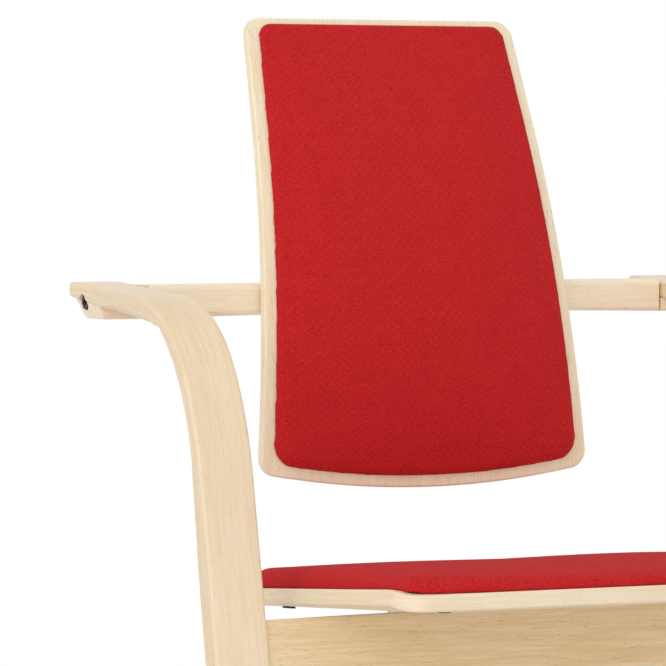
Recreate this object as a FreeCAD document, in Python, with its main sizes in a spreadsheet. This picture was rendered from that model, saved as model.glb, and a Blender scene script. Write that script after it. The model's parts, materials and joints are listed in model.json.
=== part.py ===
"""Bent-wood armchair with padded seat and a padded back that tilts on the cross bar between the arms.

Millimetres. X runs across the chair (+X is the sitter's left), Y from front to back, Z up.
The origin is on the floor under the middle of the chair.
"""
import FreeCAD, Part
import math
import os
import re
from FreeCAD import Placement, Rotation, Vector

doc = FreeCAD.newDocument("armchair")
sheet = doc.addObject("Spreadsheet::Sheet", "sizes")

SIZES = [
    # Side strips: arm, leg and runner in one bent lamination
    ("arm_gap", 522.0, "between the inner faces of the arms"),
    ("strip_width", 50.0, "strip, across the chair"),
    ("arm_thickness", 13.0, "strip at the arm's rear end"),
    ("leg_thickness", 24.0, "strip at the leg and runner"),
    ("strip_round", 3.0, "rounding of the strip's long edges"),
    ("arm_height", 691.6, "floor to the top of the arm at its rear end"),
    ("arm_end", 161.5, "rear end of the arm, behind the origin"),
    ("arm_slope", 3.7, "fall of the arm's top towards the front, degrees"),
    ("arm_under_slope", 6.2, "fall of the arm's underside towards the front, degrees"),
    ("arm_bend_radius", 130.0, "upper part of the front bend, outside"),
    ("shoulder_radius", 254.0, "lower part of the front bend, outside"),
    ("shoulder_lean", 33.5, "lean where the two bend radii meet, degrees"),
    ("leg_lean", 11.8, "lean of the leg's front face, degrees"),
    ("leg_inner_lean", 8.8, "lean of the leg's rear face where it thins, degrees"),
    ("leg_front", -122.3, "front face of the leg at the next height"),
    ("leg_front_height", 535.0, "height at which the leg's front face is given"),
    ("inner_bend_radius", 16.0, "upper part of the front bend, inside"),
    ("inner_shoulder_radius", 189.0, "lower part of the front bend, inside"),
    ("inner_shoulder_lean", 50.5, "lean where the two inside radii meet, degrees"),
    ("scoop_width", 7.0, "bevel under the arm's outer edge, across"),
    ("scoop_height", 6.0, "bevel under the arm's outer edge, up"),
    ("taper_height", 421.0, "height where the strip starts to thin"),
    ("taper_blend_radius", 1500.0, "easing at the start of the taper"),
    ("foot_bend_radius", 105.0, "bend from leg to runner, outside"),
    ("runner_flat_end", 75.0, "rear end of the runner's flat, behind the origin"),
    ("runner_radius", 900.0, "rocking curve behind the flat"),
    ("runner_end", 325.7, "rear end of the runner"),
    ("glide_thickness", 3.0, "rubber strip under the runner"),
    ("glide_width", 30.0, "rubber strip, across"),
    ("glide_margin", 6.0, "strip short of the flat at each end"),
    # Arm end blocks and the tilting cross bar
    ("block_width", 50.0, "block at its top, across"),
    ("block_undercut", 8.0, "how far the outer face leans in at the bottom"),
    ("block_rear_lean", 6.0, "how far the rear face leans forward at the bottom"),
    ("block_round", 4.0, "rounding of the block"),
    ("bar_depth", 47.0, "cross bar and blocks, front to back"),
    ("pivot_inset", 15.0, "pivot in front of the cross bar's rear face"),
    ("bar_height", 29.7, "cross bar at its ends"),
    ("bar_drop", 2.4, "top of the cross bar below the arm's rear end"),
    ("bar_setback", 15.5, "bar's rear face in front of the arm's end"),
    ("bar_arch", 3.0, "rise of the bar's lower edge at the middle"),
    ("bar_round", 5.0, "rounding of the bar"),
    ("tilt_limit", 12.0, "backward tilt of the back, degrees"),
    ("stop_reach", 9.0, "stop pin behind and below the pivot"),
    ("stop_radius", 2.5, "stop pin"),
    ("stop_length", 22.0, "stop pin"),
    ("stop_entry", 9.0, "stop pin inside the bar"),
    ("running_gap", 0.06, "radial clearance of pins that turn"),
    ("side_gap", 0.3, "end play of the bar at each arm"),
    ("bush_radius", 6.0, "pivot bush, outside"),
    ("bush_length", 24.0, "pivot bush in the bar"),
    ("bush_flange_radius", 8.5, "pivot bush flange"),
    ("bush_flange", 1.6, "pivot bush flange thickness"),
    ("insert_radius", 5.2, "threaded sleeve, outside"),
    ("insert_length", 24.0, "threaded sleeve in the block"),
    # Seat rail and rear stretcher
    ("rail_drop", 33.0, "rail's front upper edge below the seat's front edge"),
    ("rail_height", 80.0, "rail along the leg, at its ends"),
    ("rail_crown", 2.4, "rise of the rail's top from its ends to the middle"),
    ("rail_thickness", 20.0, "rail"),
    ("rail_inset", 4.0, "rail's face behind the leg's face"),
    ("rail_round", 2.0, "rounding of the rail's straight edges"),
    ("arch_radius", 160.0, "arched cut-outs in the rail"),
    ("arch_offset", 94.0, "arches from the middle"),
    ("arch_drop", 54.7, "rail's top to the arch's crown"),
    ("rail_bolt_height", 20.0, "bolt above the rail's lower edge"),
    ("dowel_height", 60.0, "dowel above the rail's lower edge"),
    ("dowel_radius", 5.0, "dowel"),
    ("dowel_length", 60.0, "dowel"),
    ("stretcher_place", 190.0, "stretcher behind the runner's flat"),
    ("stretcher_depth", 56.0, "stretcher, front to back"),
    ("stretcher_thickness", 20.0, "stretcher"),
    ("stretcher_bolt_offset", 16.0, "stretcher bolts from its middle"),
    # Bolts and nuts
    ("bolt_radius", 4.0, "frame and pivot bolts"),
    ("bolt_head_radius", 6.5, "frame and pivot bolt heads"),
    ("bolt_head_height", 8.0, "frame and pivot bolt heads"),
    ("bolt_socket", 3.4, "hexagon socket, to the corner"),
    ("socket_depth", 4.5, "hexagon socket"),
    ("bolt_length", 82.0, "frame bolts under the head"),
    ("head_recess", 10.0, "depth of a bolt head's seat"),
    ("hole_gap", 0.3, "radial clearance of bolt holes"),
    ("seat_gap", 0.8, "radial clearance round bolt heads"),
    ("nut_radius", 6.0, "barrel nuts"),
    ("nut_length", 16.0, "barrel nuts"),
    ("nut_depth", 32.0, "barrel nut from the rail's end"),
    ("nut_gap", 0.1, "radial clearance of the barrel nut"),
    ("pivot_recess", 1.0, "pivot bolt head below the block's face"),
    ("pivot_entry", 22.0, "pivot bolt inside the bar"),
    ("small_bolt_radius", 3.0, "seat bolts"),
    ("small_head_radius", 5.0, "seat bolt heads"),
    ("small_head_height", 5.0, "seat bolt heads"),
    ("small_socket", 2.6, "hexagon socket, to the corner"),
    ("screw_radius", 2.2, "wood screws"),
    ("screw_head_radius", 4.2, "wood screw heads"),
    ("screw_head_height", 2.4, "wood screw heads"),
    # Seat
    ("seat_front", -325.0, "front edge of the seat shell"),
    ("seat_width", 442.0, "seat shell"),
    ("seat_depth", 420.0, "seat shell"),
    ("seat_height", 446.0, "floor to the shell's front upper edge"),
    ("seat_tilt", 4.3, "fall of the seat to the rear, degrees"),
    ("seat_thickness", 14.0, "seat shell"),
    ("seat_side_rise", 5.7, "sides of the dished seat above its plane"),
    ("seat_front_dip", 5.8, "middle of the dished seat below its plane towards the front"),
    ("seat_rear_dip", -1.7, "middle of the dished seat below its plane at the rear edge"),
    ("seat_dip_start", 100.0, "where the middle's dip is full, behind the front edge"),
    ("seat_bow", 5.0, "power of the dish's curve across the seat"),
    ("cushion_dip", 3.3, "middle of the seat cushion's top below its plane, without its crown"),
    ("cushion_bow", 1.5, "power of the curve across the seat cushion's top"),
    ("seat_dish_start", 32.0, "where the dish is full, behind the front edge"),
    ("seat_front_corner", 24.0, "plan radius of the front corners"),
    ("seat_rear_corner", 142.0, "plan radius of the rear corners"),
    ("shell_round", 2.0, "rounding of shell edges"),
    ("pad_rim", 9.0, "shell showing round the seat cushion"),
    ("pad_board_thickness", 5.0, "black board under a cushion"),
    ("pad_board_inset", 5.0, "board inside the cushion's outline"),
    ("soft_gap", 0.3, "clearance round soft pieces"),
    ("lay_gap", 0.06, "clearance between curved layers that lie on each other"),
    ("seat_edge_height", 16.5, "seat cushion at its edge"),
    ("seat_crown_height", 25.6, "seat cushion at its middle"),
    ("seat_cushion_round", 13.5, "upper edge of the seat cushion"),
    ("cushion_round", 7.5, "front edge of the back cushion"),
    ("bracket_place", 70.0, "seat brackets from the middle"),
    ("bracket_width", 40.0, "seat bracket"),
    ("bracket_reach", 92.0, "seat bracket under the shell"),
    ("bracket_drop", 52.0, "seat bracket down the rail"),
    ("bracket_thickness", 4.0, "seat bracket"),
    ("buffer_radius", 11.0, "rubber seat buffers"),
    ("buffer_thickness", 4.0, "rubber seat buffers"),
    ("buffer_spread", 56.0, "distance between a bracket's two buffers"),
    ("buffer_margin", 18.0, "buffer from the bracket's rear end"),
    ("tee_flange_radius", 8.0, "tee nut flange"),
    ("tee_flange", 1.5, "tee nut flange thickness"),
    ("tee_barrel_radius", 4.2, "tee nut barrel"),
    ("tee_barrel_length", 9.0, "tee nut barrel"),
    ("pad_screw_side", 200.0, "rear pad screws from the middle"),
    ("pad_screw_rear", 262.0, "rear pad screws behind the front edge"),
    ("pad_screw_middle", 120.0, "front pad screws from the middle"),
    ("pad_screw_front", 125.0, "front pad screws behind the front edge"),
    ("pad_screw_length", 17.0, "pad screws under the head"),
    ("pad_screw_head", 1.5, "height of the seat pad screws' flat heads"),
    # Back
    ("back_vertex", 72.8, "shell's middle surface where it is upright"),
    ("back_vertex_height", 499.0, "height where the shell is upright"),
    ("back_radius", 943.0, "curve of the shell's middle surface"),
    ("back_curve_end", 20.5, "lean where the curve ends, degrees"),
    ("back_bottom", 504.5, "floor to the shell's lower edge at the middle"),
    ("back_top", 929.0, "floor to the shell's upper edge"),
    ("back_thickness", 10.0, "back shell"),
    ("back_width_bottom", 333.0, "shell at its lower edge"),
    ("back_width_top", 270.0, "shell at its upper edge"),
    ("back_bottom_radius", 850.0, "bow of the lower edge"),
    ("back_corner", 17.0, "outline corners"),
    ("back_rim", 10.5, "shell showing round the back cushion"),
    ("back_top_rim", 5.0, "shell showing above the back cushion"),
    ("back_cushion_corner", 21.0, "lower corner radius of the back cushion"),
    ("back_cushion_top_corner", 13.0, "upper corner radius of the back cushion"),
    ("back_edge_height", 8.0, "back cushion at its edge"),
    ("back_crown_height", 23.0, "back cushion at its middle"),
    ("spacer_place", 72.0, "back spacers from the middle"),
    ("spacer_width", 46.0, "back spacer"),
    ("spacer_height", 22.0, "back spacer"),
    ("shell_screw_length", 32.0, "shell screws, head included"),
    ("shell_screw_spread", 32.0, "distance between a spacer's two shell screws"),
    ("back_pad_screw_side", 98.0, "back pad screws from the middle"),
    ("back_pad_screw_low", 588.0, "lower back pad screws above the floor"),
    ("back_pad_screw_high", 838.0, "upper back pad screws above the floor"),
    ("back_pad_screw_length", 13.5, "back pad screws under the head"),
    ("block_screw_length", 28.0, "block screws, head included"),
    ("block_screw_place", 19.0, "block screws from the arm's inner face"),
    ("block_screw_spread", 20.0, "distance between a block's two screws"),
    ("bracket_screw_length", 16.0, "bracket screws, head included"),
    ("bracket_screw_spread", 20.0, "distance between a bracket's two screws"),
    ("bracket_screw_drop", 34.0, "bracket screws below the rail's top"),
]

for row, (alias, value, note) in enumerate(SIZES, start=1):
    sheet.set("A%d" % row, alias)
    sheet.set("B%d" % row, str(value))
    sheet.setAlias("B%d" % row, alias)
    sheet.set("C%d" % row, note)
doc.recompute()

ALIASES = {alias for alias, value, note in SIZES}
ACROSS = Vector(1, 0, 0)
BACKWARD = Vector(0, 1, 0)
UP = Vector(0, 0, 1)
pieces = []


def size(alias):
    """A driving dimension from the sheet."""
    return float(sheet.get(alias))


def bind(item, name, text):
    """Tie a property to an expression written with the sheet's aliases."""
    expression = re.sub(r"[a-z_]+", lambda m: "sizes." + m.group() if m.group() in ALIASES else m.group(), text)
    item.setExpression(name, expression)


def keep(item, label):
    """Mark a document object as a sub-part, under the name of its file."""
    item.Label = label
    pieces.append(item)
    return item


def sin(degrees):
    return math.sin(math.radians(degrees))


def cos(degrees):
    return math.cos(math.radians(degrees))


def tan(degrees):
    return math.tan(math.radians(degrees))


def aim(start, direction):
    """A placement whose Z axis runs from start along direction."""
    return Placement(start, Rotation(UP, direction))


# Document objects made of primitives

def cylinder(name, radius, height, start, direction):
    item = doc.addObject("Part::Cylinder", name)
    bind(item, "Radius", radius)
    bind(item, "Height", height)
    item.Placement = aim(start, direction)
    return item


def cone(name, radius_start, radius_end, height, start, direction):
    item = doc.addObject("Part::Cone", name)
    bind(item, "Radius1", radius_start)
    bind(item, "Radius2", radius_end)
    bind(item, "Height", height)
    item.Placement = aim(start, direction)
    return item


def hexagon(name, radius, height, start, direction):
    item = doc.addObject("Part::Prism", name)
    item.Polygon = 6
    bind(item, "Circumradius", radius)
    bind(item, "Height", height)
    item.Placement = aim(start, direction)
    return item


def fused(name, members):
    item = doc.addObject("Part::MultiFuse", name)
    item.Shapes = members
    return item


def cut(name, base, tools):
    """The base with every tool taken out of it."""
    item = doc.addObject("Part::Cut", name)
    item.Base = base
    item.Tool = tools[0] if len(tools) == 1 else fused(name + "_tools", tools)
    return item


def group(label, members):
    """Like pieces that share one node, each a solid of its own."""
    item = doc.addObject("Part::Compound", label)
    item.Links = members
    return keep(item, label)


def shaped(name, shape):
    """A piece whose outline is worked out below from the sheet's values."""
    item = doc.addObject("Part::Feature", name)
    item.Shape = shape
    return item


# Outlines

def rounded_loop(corners):
    """A closed wire through (point, radius) corners, each rounded by an arc tangent to its two sides."""
    spans = []
    count = len(corners)
    for index, (point, radius) in enumerate(corners):
        before = (corners[index - 1][0] - point).normalize()
        after = (corners[(index + 1) % count][0] - point).normalize()
        half_turn = (math.pi - before.getAngle(after)) / 2
        reach = radius * math.tan(half_turn)
        middle = (before + after).normalize() * radius * (1 / math.cos(half_turn) - 1)
        spans.append((point + before * reach, point + middle, point + after * reach, radius))
    edges = []
    for index, (start, middle, end, radius) in enumerate(spans):
        if radius > 0:
            edges.append(Part.Arc(start, middle, end).toShape())
        following = spans[(index + 1) % count][0]
        if (following - end).Length > 1e-6:
            edges.append(Part.LineSegment(end, following).toShape())
    return Part.Wire(Part.__sortEdges__(edges))


def extruded(wire, along):
    return Part.Face(wire).extrude(along)


def rim_edges(shape, is_rim):
    return [edge for edge in shape.Edges if is_rim(edge)]


def side_edge(edge):
    """True on an edge that lies in a plane square to X."""
    return edge.BoundBox.XLength < 1e-6


def largest_solid(shape):
    return max(shape.Solids, key=lambda solid: solid.Volume)


# Side strips

def leg_face(height):
    """Depth of the straight leg's front face at a height."""
    return size("leg_front") + (height - size("leg_front_height")) * tan(size("leg_lean"))


def arm_under(depth):
    """Height of the arm's underside at a depth."""
    rear = size("arm_height") - size("arm_thickness")
    return rear - (size("arm_end") - depth) * tan(size("arm_under_slope"))


def bend_corners(arm_z, slope, radius, shoulder, chord_lean, leg_point, lean):
    """The two corners of a bend from the arm to the leg, placed so that its two arcs touch.

    The arm's line falls by slope from arm_z at its rear end, the leg's line leans through leg_point, and between
    them runs the line on which the arcs meet.
    """
    reach = radius * tan((90 - slope - chord_lean) / 2) + shoulder * tan((chord_lean - lean) / 2)
    level = arm_z - size("arm_end") * tan(slope)
    offset = leg_point.y - leg_point.z * tan(lean) + reach * sin(chord_lean)
    low_z = (level + tan(slope) * offset - reach * cos(chord_lean)) / (1 - tan(slope) * tan(lean))
    low = Vector(0, leg_point.y + (low_z - leg_point.z) * tan(lean), low_z)
    return low + Vector(0, sin(chord_lean), cos(chord_lean)) * reach, low


def strip_profile():
    """Corners of the strip seen from the side: outside from the arm's end to the runner's end, and back inside."""
    lean, end, top = size("leg_lean"), size("arm_end"), size("arm_height")
    thick, floor = size("leg_thickness"), size("glide_thickness")
    upper, lower = bend_corners(top, size("arm_slope"), size("arm_bend_radius"), size("shoulder_radius"),
                                size("shoulder_lean"), Vector(0, leg_face(0), 0), lean)
    foot = Vector(0, leg_face(floor), floor)
    flat_end = size("runner_flat_end")
    rise = math.degrees(math.asin((size("runner_end") - flat_end) / size("runner_radius")))
    toe = size("runner_radius") * tan(rise / 2)
    runner = Vector(0, flat_end + toe, floor)
    tip = runner + Vector(0, cos(rise), sin(rise)) * toe
    inside = size("runner_radius") - thick
    runner_in = Vector(0, flat_end + inside * tan(rise / 2), floor + thick)
    tip_in = tip + Vector(0, -sin(rise), cos(rise)) * thick
    foot_in = Vector(0, leg_face(floor + thick) + thick / cos(lean), floor + thick)
    taper_z = size("taper_height")
    taper = Vector(0, leg_face(taper_z) + thick / cos(lean), taper_z)
    under = top - size("arm_thickness")
    upper_in, lower_in = bend_corners(under, size("arm_under_slope"), size("inner_bend_radius"),
                                      size("inner_shoulder_radius"), size("inner_shoulder_lean"), taper,
                                      size("leg_inner_lean"))
    return [
        (Vector(0, end, top), 0), (upper, size("arm_bend_radius")), (lower, size("shoulder_radius")),
        (foot, size("foot_bend_radius")), (runner, size("runner_radius")), (tip, 0), (tip_in, 0),
        (runner_in, inside), (foot_in, size("foot_bend_radius") - thick), (taper, size("taper_blend_radius")),
        (lower_in, size("inner_shoulder_radius")), (upper_in, size("inner_bend_radius")),
        (Vector(0, end, under), 0),
    ]


def arm_scoop():
    """The leaf-shaped bevel under the arm's outer edge: it opens and closes again along the arm."""
    outer = size("arm_gap") / 2 + size("strip_width")
    start = bend_corners(size("arm_height") - size("arm_thickness"), size("arm_under_slope"),
                         size("inner_bend_radius"), size("inner_shoulder_radius"), size("inner_shoulder_lean"),
                         Vector(0, leg_face(size("taper_height")) + size("leg_thickness") / cos(size("leg_lean")),
                                size("taper_height")), size("leg_inner_lean"))[0].y
    length = size("arm_end") - start
    sections = []
    for share, opening in ((0.02, 0.08), (0.14, 0.85), (0.32, 1.0), (0.5, 0.85), (0.62, 0.08)):
        depth = start + length * share
        low = arm_under(depth) - 1
        high = arm_under(depth) + size("scoop_height") * opening
        inner = outer - size("scoop_width") * opening
        corners = [Vector(outer + 1, depth, high + 1), Vector(inner - 1, depth, low), Vector(outer + 1, depth, low)]
        sections.append(Part.makePolygon(corners + corners[:1]))
    return Part.makeLoft(sections, True, True)


def strip_solid():
    """The left strip, with its long edges and its two ends rounded."""
    corners = strip_profile()
    wire = rounded_loop(corners)
    wire.translate(ACROSS * (size("arm_gap") / 2))
    solid = extruded(wire, ACROSS * size("strip_width"))
    ends = [point for point, radius in corners if radius == 0]

    def is_rim(edge):
        middle = edge.CenterOfMass
        at_end = any(math.hypot(middle.y - end.y, middle.z - end.z) < 1e-3 for end in ends)
        return side_edge(edge) or at_end

    rounded = solid.makeFillet(size("strip_round"), rim_edges(solid, is_rim))
    return largest_solid(rounded.cut(arm_scoop()))


SIDES = [("right", -1), ("left", 1)]
inner_face = size("arm_gap") / 2
outer_face = inner_face + size("strip_width")
bar_rear = size("arm_end") - size("bar_setback")
bar_front = bar_rear - size("bar_depth")
pivot_y = bar_rear - size("pivot_inset")
bar_top = size("arm_height") - size("bar_drop")
pivot_z = bar_top - size("bar_height") / 2
block_bottom = bar_top - size("bar_height")
block_reach = inner_face + size("block_width")
block_lean = size("block_undercut") / (arm_under(size("arm_end")) - block_bottom)
pivot_face = block_reach - block_lean * (arm_under(size("arm_end")) - pivot_z)
pivot_head = pivot_face - size("pivot_recess")
pivot_seat = pivot_head - size("bolt_head_height")
rail_top = size("seat_height") - size("rail_drop")


# Places on the tilted rail: across, along its thickness from the front face, and up from its lower edge

rail_normal = Vector(0, cos(size("leg_lean")), -sin(size("leg_lean")))
rail_upward = Vector(0, sin(size("leg_lean")), cos(size("leg_lean")))
rail_origin = (Vector(0, leg_face(rail_top), rail_top)
               + Vector(0, 1, 0) * (size("rail_inset") / cos(size("leg_lean")))
               - rail_upward * size("rail_height"))


def rail_point(across, depth, height):
    return Vector(across, 0, 0) + rail_origin + rail_normal * depth + rail_upward * height


stretcher_lean = math.degrees(math.asin(size("stretcher_place") / size("runner_radius")))
stretcher_radius = size("runner_radius") - size("leg_thickness") / 2
stretcher_middle = Vector(
    0,
    size("runner_flat_end") + stretcher_radius * sin(stretcher_lean),
    size("glide_thickness") + size("runner_radius") - stretcher_radius * cos(stretcher_lean),
)
stretcher_along = Vector(0, cos(stretcher_lean), sin(stretcher_lean))
stretcher_up = Vector(0, -sin(stretcher_lean), cos(stretcher_lean))

rail_bolt_point = rail_point(0, size("rail_thickness") / 2, size("rail_bolt_height"))
dowel_point = rail_point(0, size("rail_thickness") / 2, size("dowel_height"))
stretcher_bolt_points = [stretcher_middle + stretcher_along * (way * size("stretcher_bolt_offset"))
                         for way in (-1, 1)]


def beside(point, sign, distance):
    """The point moved out from the middle to a distance on one side."""
    return Vector(sign * distance, point.y, point.z)


def frame_bolt_tools(name, point, sign):
    """Hole and head seat of a frame bolt that comes in from the strip's outer face."""
    inward = ACROSS * -sign
    return [
        cylinder(name + "_hole", "bolt_radius + hole_gap", "strip_width + bolt_length",
                 beside(point, sign, outer_face), inward),
        cylinder(name + "_seat", "bolt_head_radius + seat_gap", "head_recess",
                 beside(point, sign, outer_face), inward),
    ]


def cap_screw(name, point, direction, shank, head, height, socket, length):
    """A socket-head screw: point is under its head, and its shank runs along direction."""
    shank_solid = cylinder(name + "_shank", shank, length, point, direction)
    head_solid = cylinder(name + "_head", head, height, point, direction * -1)
    body = fused(name + "_body", [shank_solid, head_solid])
    top = point - direction * size("bolt_head_height" if height == "bolt_head_height" else "small_head_height")
    recess = hexagon(name + "_socket", socket, "socket_depth", top, direction)
    return cut(name, body, [recess])


def frame_bolt(name, point, sign):
    under_head = beside(point, sign, outer_face - size("head_recess"))
    return cap_screw(name, under_head, ACROSS * -sign, "bolt_radius", "bolt_head_radius",
                     "bolt_head_height", "bolt_socket", "bolt_length")


def wood_screw(name, point, direction, length):
    """A countersunk screw: point is the middle of its head's face."""
    head = cone(name + "_head", "screw_head_radius", "screw_radius", "screw_head_height", point, direction)
    shank = cylinder(name + "_shank", "screw_radius", length, point, direction)
    return fused(name, [head, shank])


def wood_screw_tools(name, point, direction, length):
    """The hole of a countersunk screw, a little larger than the screw all round."""
    head = cone(name + "_seat", "screw_head_radius + nut_gap", "screw_radius + nut_gap", "screw_head_height",
                point, direction)
    hole = cylinder(name + "_hole", "screw_radius + nut_gap", length + " + hole_gap", point, direction)
    return [head, hole]


def barrel_nut(name, middle, along):
    """A round nut across the bolt that enters it along X."""
    start = middle - along * (size("nut_length") / 2)
    blank = cylinder(name + "_blank", "nut_radius", "nut_length", start, along)
    reach = ACROSS * size("nut_radius") * 2
    thread = cylinder(name + "_thread", "bolt_radius + nut_gap", "4 * nut_radius", middle - reach, ACROSS)
    return cut(name, blank, [thread])


def barrel_nut_tool(name, middle, along):
    start = middle - along * (size("nut_length") / 2 + size("nut_gap"))
    return cylinder(name, "nut_radius + nut_gap", "nut_length + 2 * nut_gap", start, along)


def block_screw_points(sign):
    across = sign * (inner_face + size("block_screw_place"))
    spread = size("block_screw_spread") / 2
    return [Vector(across, pivot_y + way * spread, block_bottom) for way in (-1, 1)]


def pivot_tools(name, sign):
    """Hole, head seat and sleeve hole of a pivot screw, which the arm and its block share."""
    start = Vector(sign * (inner_face - 1), pivot_y, pivot_z)
    head = Vector(sign * (pivot_seat - size("nut_gap")), pivot_y, pivot_z)
    return [
        cylinder(name + "_pivot_hole", "bolt_radius + hole_gap", "strip_width", start, ACROSS * sign),
        cylinder(name + "_pivot_seat", "bolt_head_radius + seat_gap", "strip_width", head, ACROSS * sign),
        cylinder(name + "_sleeve_hole", "insert_radius + nut_gap", "insert_length + nut_gap", start, ACROSS * sign),
    ]


# Frame: side strips, blocks, rail, stretcher, glides and their fastenings

for side, sign in SIDES:
    solid = strip_solid()
    if sign < 0:
        solid = solid.mirror(Vector(), ACROSS)
    strip = shaped("strip_" + side, solid)
    tools = frame_bolt_tools("rail_bolt_" + side, rail_bolt_point, sign)
    for index, point in enumerate(stretcher_bolt_points):
        tools += frame_bolt_tools("stretcher_bolt_%s_%d" % (side, index), point, sign)
    tools.append(cylinder("dowel_hole_" + side, "dowel_radius + nut_gap", "dowel_length + 2 * nut_gap",
                          beside(dowel_point, sign, inner_face - size("dowel_length") / 2 - size("nut_gap")),
                          ACROSS * sign))
    tools += pivot_tools("arm_" + side, sign)
    for index, point in enumerate(block_screw_points(sign)):
        tools += wood_screw_tools("arm_screw_%s_%d" % (side, index), point, UP, "block_screw_length")
    keep(cut("side_strip_" + side, strip, tools), "side_strip_" + side)

for side, sign in SIDES:
    rear_under = arm_under(size("arm_end"))
    corners = [
        (Vector(sign * inner_face, 0, rear_under), 0),
        (Vector(sign * block_reach, 0, rear_under), 0),
        (Vector(sign * (block_reach - size("block_undercut")), 0, block_bottom), size("block_round")),
        (Vector(sign * inner_face, 0, block_bottom), 0),
    ]
    wire = rounded_loop(corners)
    wire.translate(BACKWARD * bar_front)
    blank = extruded(wire, BACKWARD * size("bar_depth"))
    bevel = size("strip_round")
    seated = rounded_loop([
        (Vector(0, bar_front, arm_under(bar_front)), 0), (Vector(0, bar_rear, arm_under(bar_rear)), 0),
        (Vector(0, bar_rear - size("block_rear_lean"), block_bottom), bevel),
        (Vector(0, bar_front, block_bottom), bevel),
    ])
    blank = largest_solid(blank.common(extruded(seated, ACROSS * (sign * outer_face))))
    block = shaped("block_" + side, blank)
    tools = pivot_tools("block_" + side, sign)
    stop = Vector(sign * (inner_face - 1), pivot_y + size("stop_reach"), pivot_z - size("stop_reach"))
    tools.append(cylinder("stop_hole_" + side, "stop_radius + nut_gap", "stop_length - stop_entry + 1 + nut_gap",
                          stop, ACROSS * sign))
    for index, point in enumerate(block_screw_points(sign)):
        tools += wood_screw_tools("block_screw_%s_%d" % (side, index), point, UP, "block_screw_length")
    keep(cut("arm_block_" + side, block, tools), "arm_block_" + side)

rail_box = doc.addObject("Part::Box", "rail_blank")
bind(rail_box, "Length", "arm_gap")
bind(rail_box, "Width", "rail_thickness")
bind(rail_box, "Height", "rail_height + rail_crown")
rail_box.Placement = Placement(rail_point(-inner_face, 0, 0), Rotation(ACROSS, -size("leg_lean")))
arch_centre = size("rail_height") - size("arch_drop") - size("arch_radius")
arches = [cylinder("arch_%d" % index, "arch_radius", "rail_thickness + 2",
                   rail_point(way * size("arch_offset"), -1, arch_centre), rail_normal)
          for index, way in enumerate((-1, 1))]
crown_radius = (inner_face ** 2 + size("rail_crown") ** 2) / (2 * size("rail_crown"))
rail_crowned = doc.addObject("Part::Common", "rail_crowned")
rail_crowned.Base = rail_box
rail_crowned.Tool = cylinder("rail_crown_arc", "(arm_gap * arm_gap / 4 + rail_crown * rail_crown) / (2 * rail_crown)",
                             "rail_thickness + 2",
                             rail_point(0, -1, size("rail_height") + size("rail_crown") - crown_radius), rail_normal)
rail_cut = cut("rail_arched", rail_crowned, arches)
doc.recompute()
rail_rounded = doc.addObject("Part::Fillet", "rail_rounded")
rail_rounded.Base = rail_cut
rail_rounded.Edges = [
    (index + 1, size("rail_round"), size("rail_round"))
    for index, edge in enumerate(rail_cut.Shape.Edges)
    if edge.BoundBox.XLength > size("rail_thickness")
]
rail_tools = []
for side, sign in SIDES:
    rail_tools.append(cylinder("rail_hole_" + side, "bolt_radius + hole_gap", "strip_width + bolt_length",
                               beside(rail_bolt_point, sign, outer_face), ACROSS * -sign))
    rail_tools.append(cylinder("rail_dowel_hole_" + side, "dowel_radius + nut_gap", "dowel_length",
                               beside(dowel_point, sign, inner_face - size("dowel_length") / 2 - size("nut_gap")),
                               ACROSS * sign))
    rail_tools.append(barrel_nut_tool("rail_nut_hole_" + side,
                                      beside(rail_bolt_point, sign, inner_face - size("nut_depth")), rail_normal))


def bracket_screw_points(sign):
    """Bracket screws on the bracket's rear face, low on the rail's rear side."""
    depth = size("rail_thickness") + size("bracket_thickness")
    height = size("rail_height") - size("bracket_screw_drop")
    spread = size("bracket_screw_spread") / 2
    return [rail_point(sign * size("bracket_place") + way * spread, depth, height) for way in (-1, 1)]


for side, sign in SIDES:
    for index, point in enumerate(bracket_screw_points(sign)):
        rail_tools += wood_screw_tools("rail_screw_%s_%d" % (side, index), point, rail_normal * -1,
                                       "bracket_screw_length")
keep(cut("seat_rail", rail_rounded, rail_tools), "seat_rail")

stretcher_box = doc.addObject("Part::Box", "stretcher_blank")
bind(stretcher_box, "Length", "arm_gap")
bind(stretcher_box, "Width", "stretcher_depth")
bind(stretcher_box, "Height", "stretcher_thickness")
stretcher_corner = (stretcher_middle - stretcher_along * (size("stretcher_depth") / 2)
                    - stretcher_up * (size("stretcher_thickness") / 2))
stretcher_box.Placement = Placement(beside(stretcher_corner, -1, inner_face), Rotation(ACROSS, stretcher_lean))
doc.recompute()
stretcher_rounded = doc.addObject("Part::Fillet", "stretcher_rounded")
stretcher_rounded.Base = stretcher_box
stretcher_rounded.Edges = [
    (index + 1, size("strip_round"), size("strip_round"))
    for index, edge in enumerate(stretcher_box.Shape.Edges)
    if edge.BoundBox.XLength > size("stretcher_depth")
]
stretcher_tools = []
for side, sign in SIDES:
    for index, point in enumerate(stretcher_bolt_points):
        tag = "stretcher_%s_%d" % (side, index)
        stretcher_tools.append(cylinder(tag + "_hole", "bolt_radius + hole_gap", "strip_width + bolt_length",
                                        beside(point, sign, outer_face), ACROSS * -sign))
        stretcher_tools.append(barrel_nut_tool(tag + "_nut_hole",
                                               beside(point, sign, inner_face - size("nut_depth")), stretcher_up))
keep(cut("rear_stretcher", stretcher_rounded, stretcher_tools), "rear_stretcher")

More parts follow.
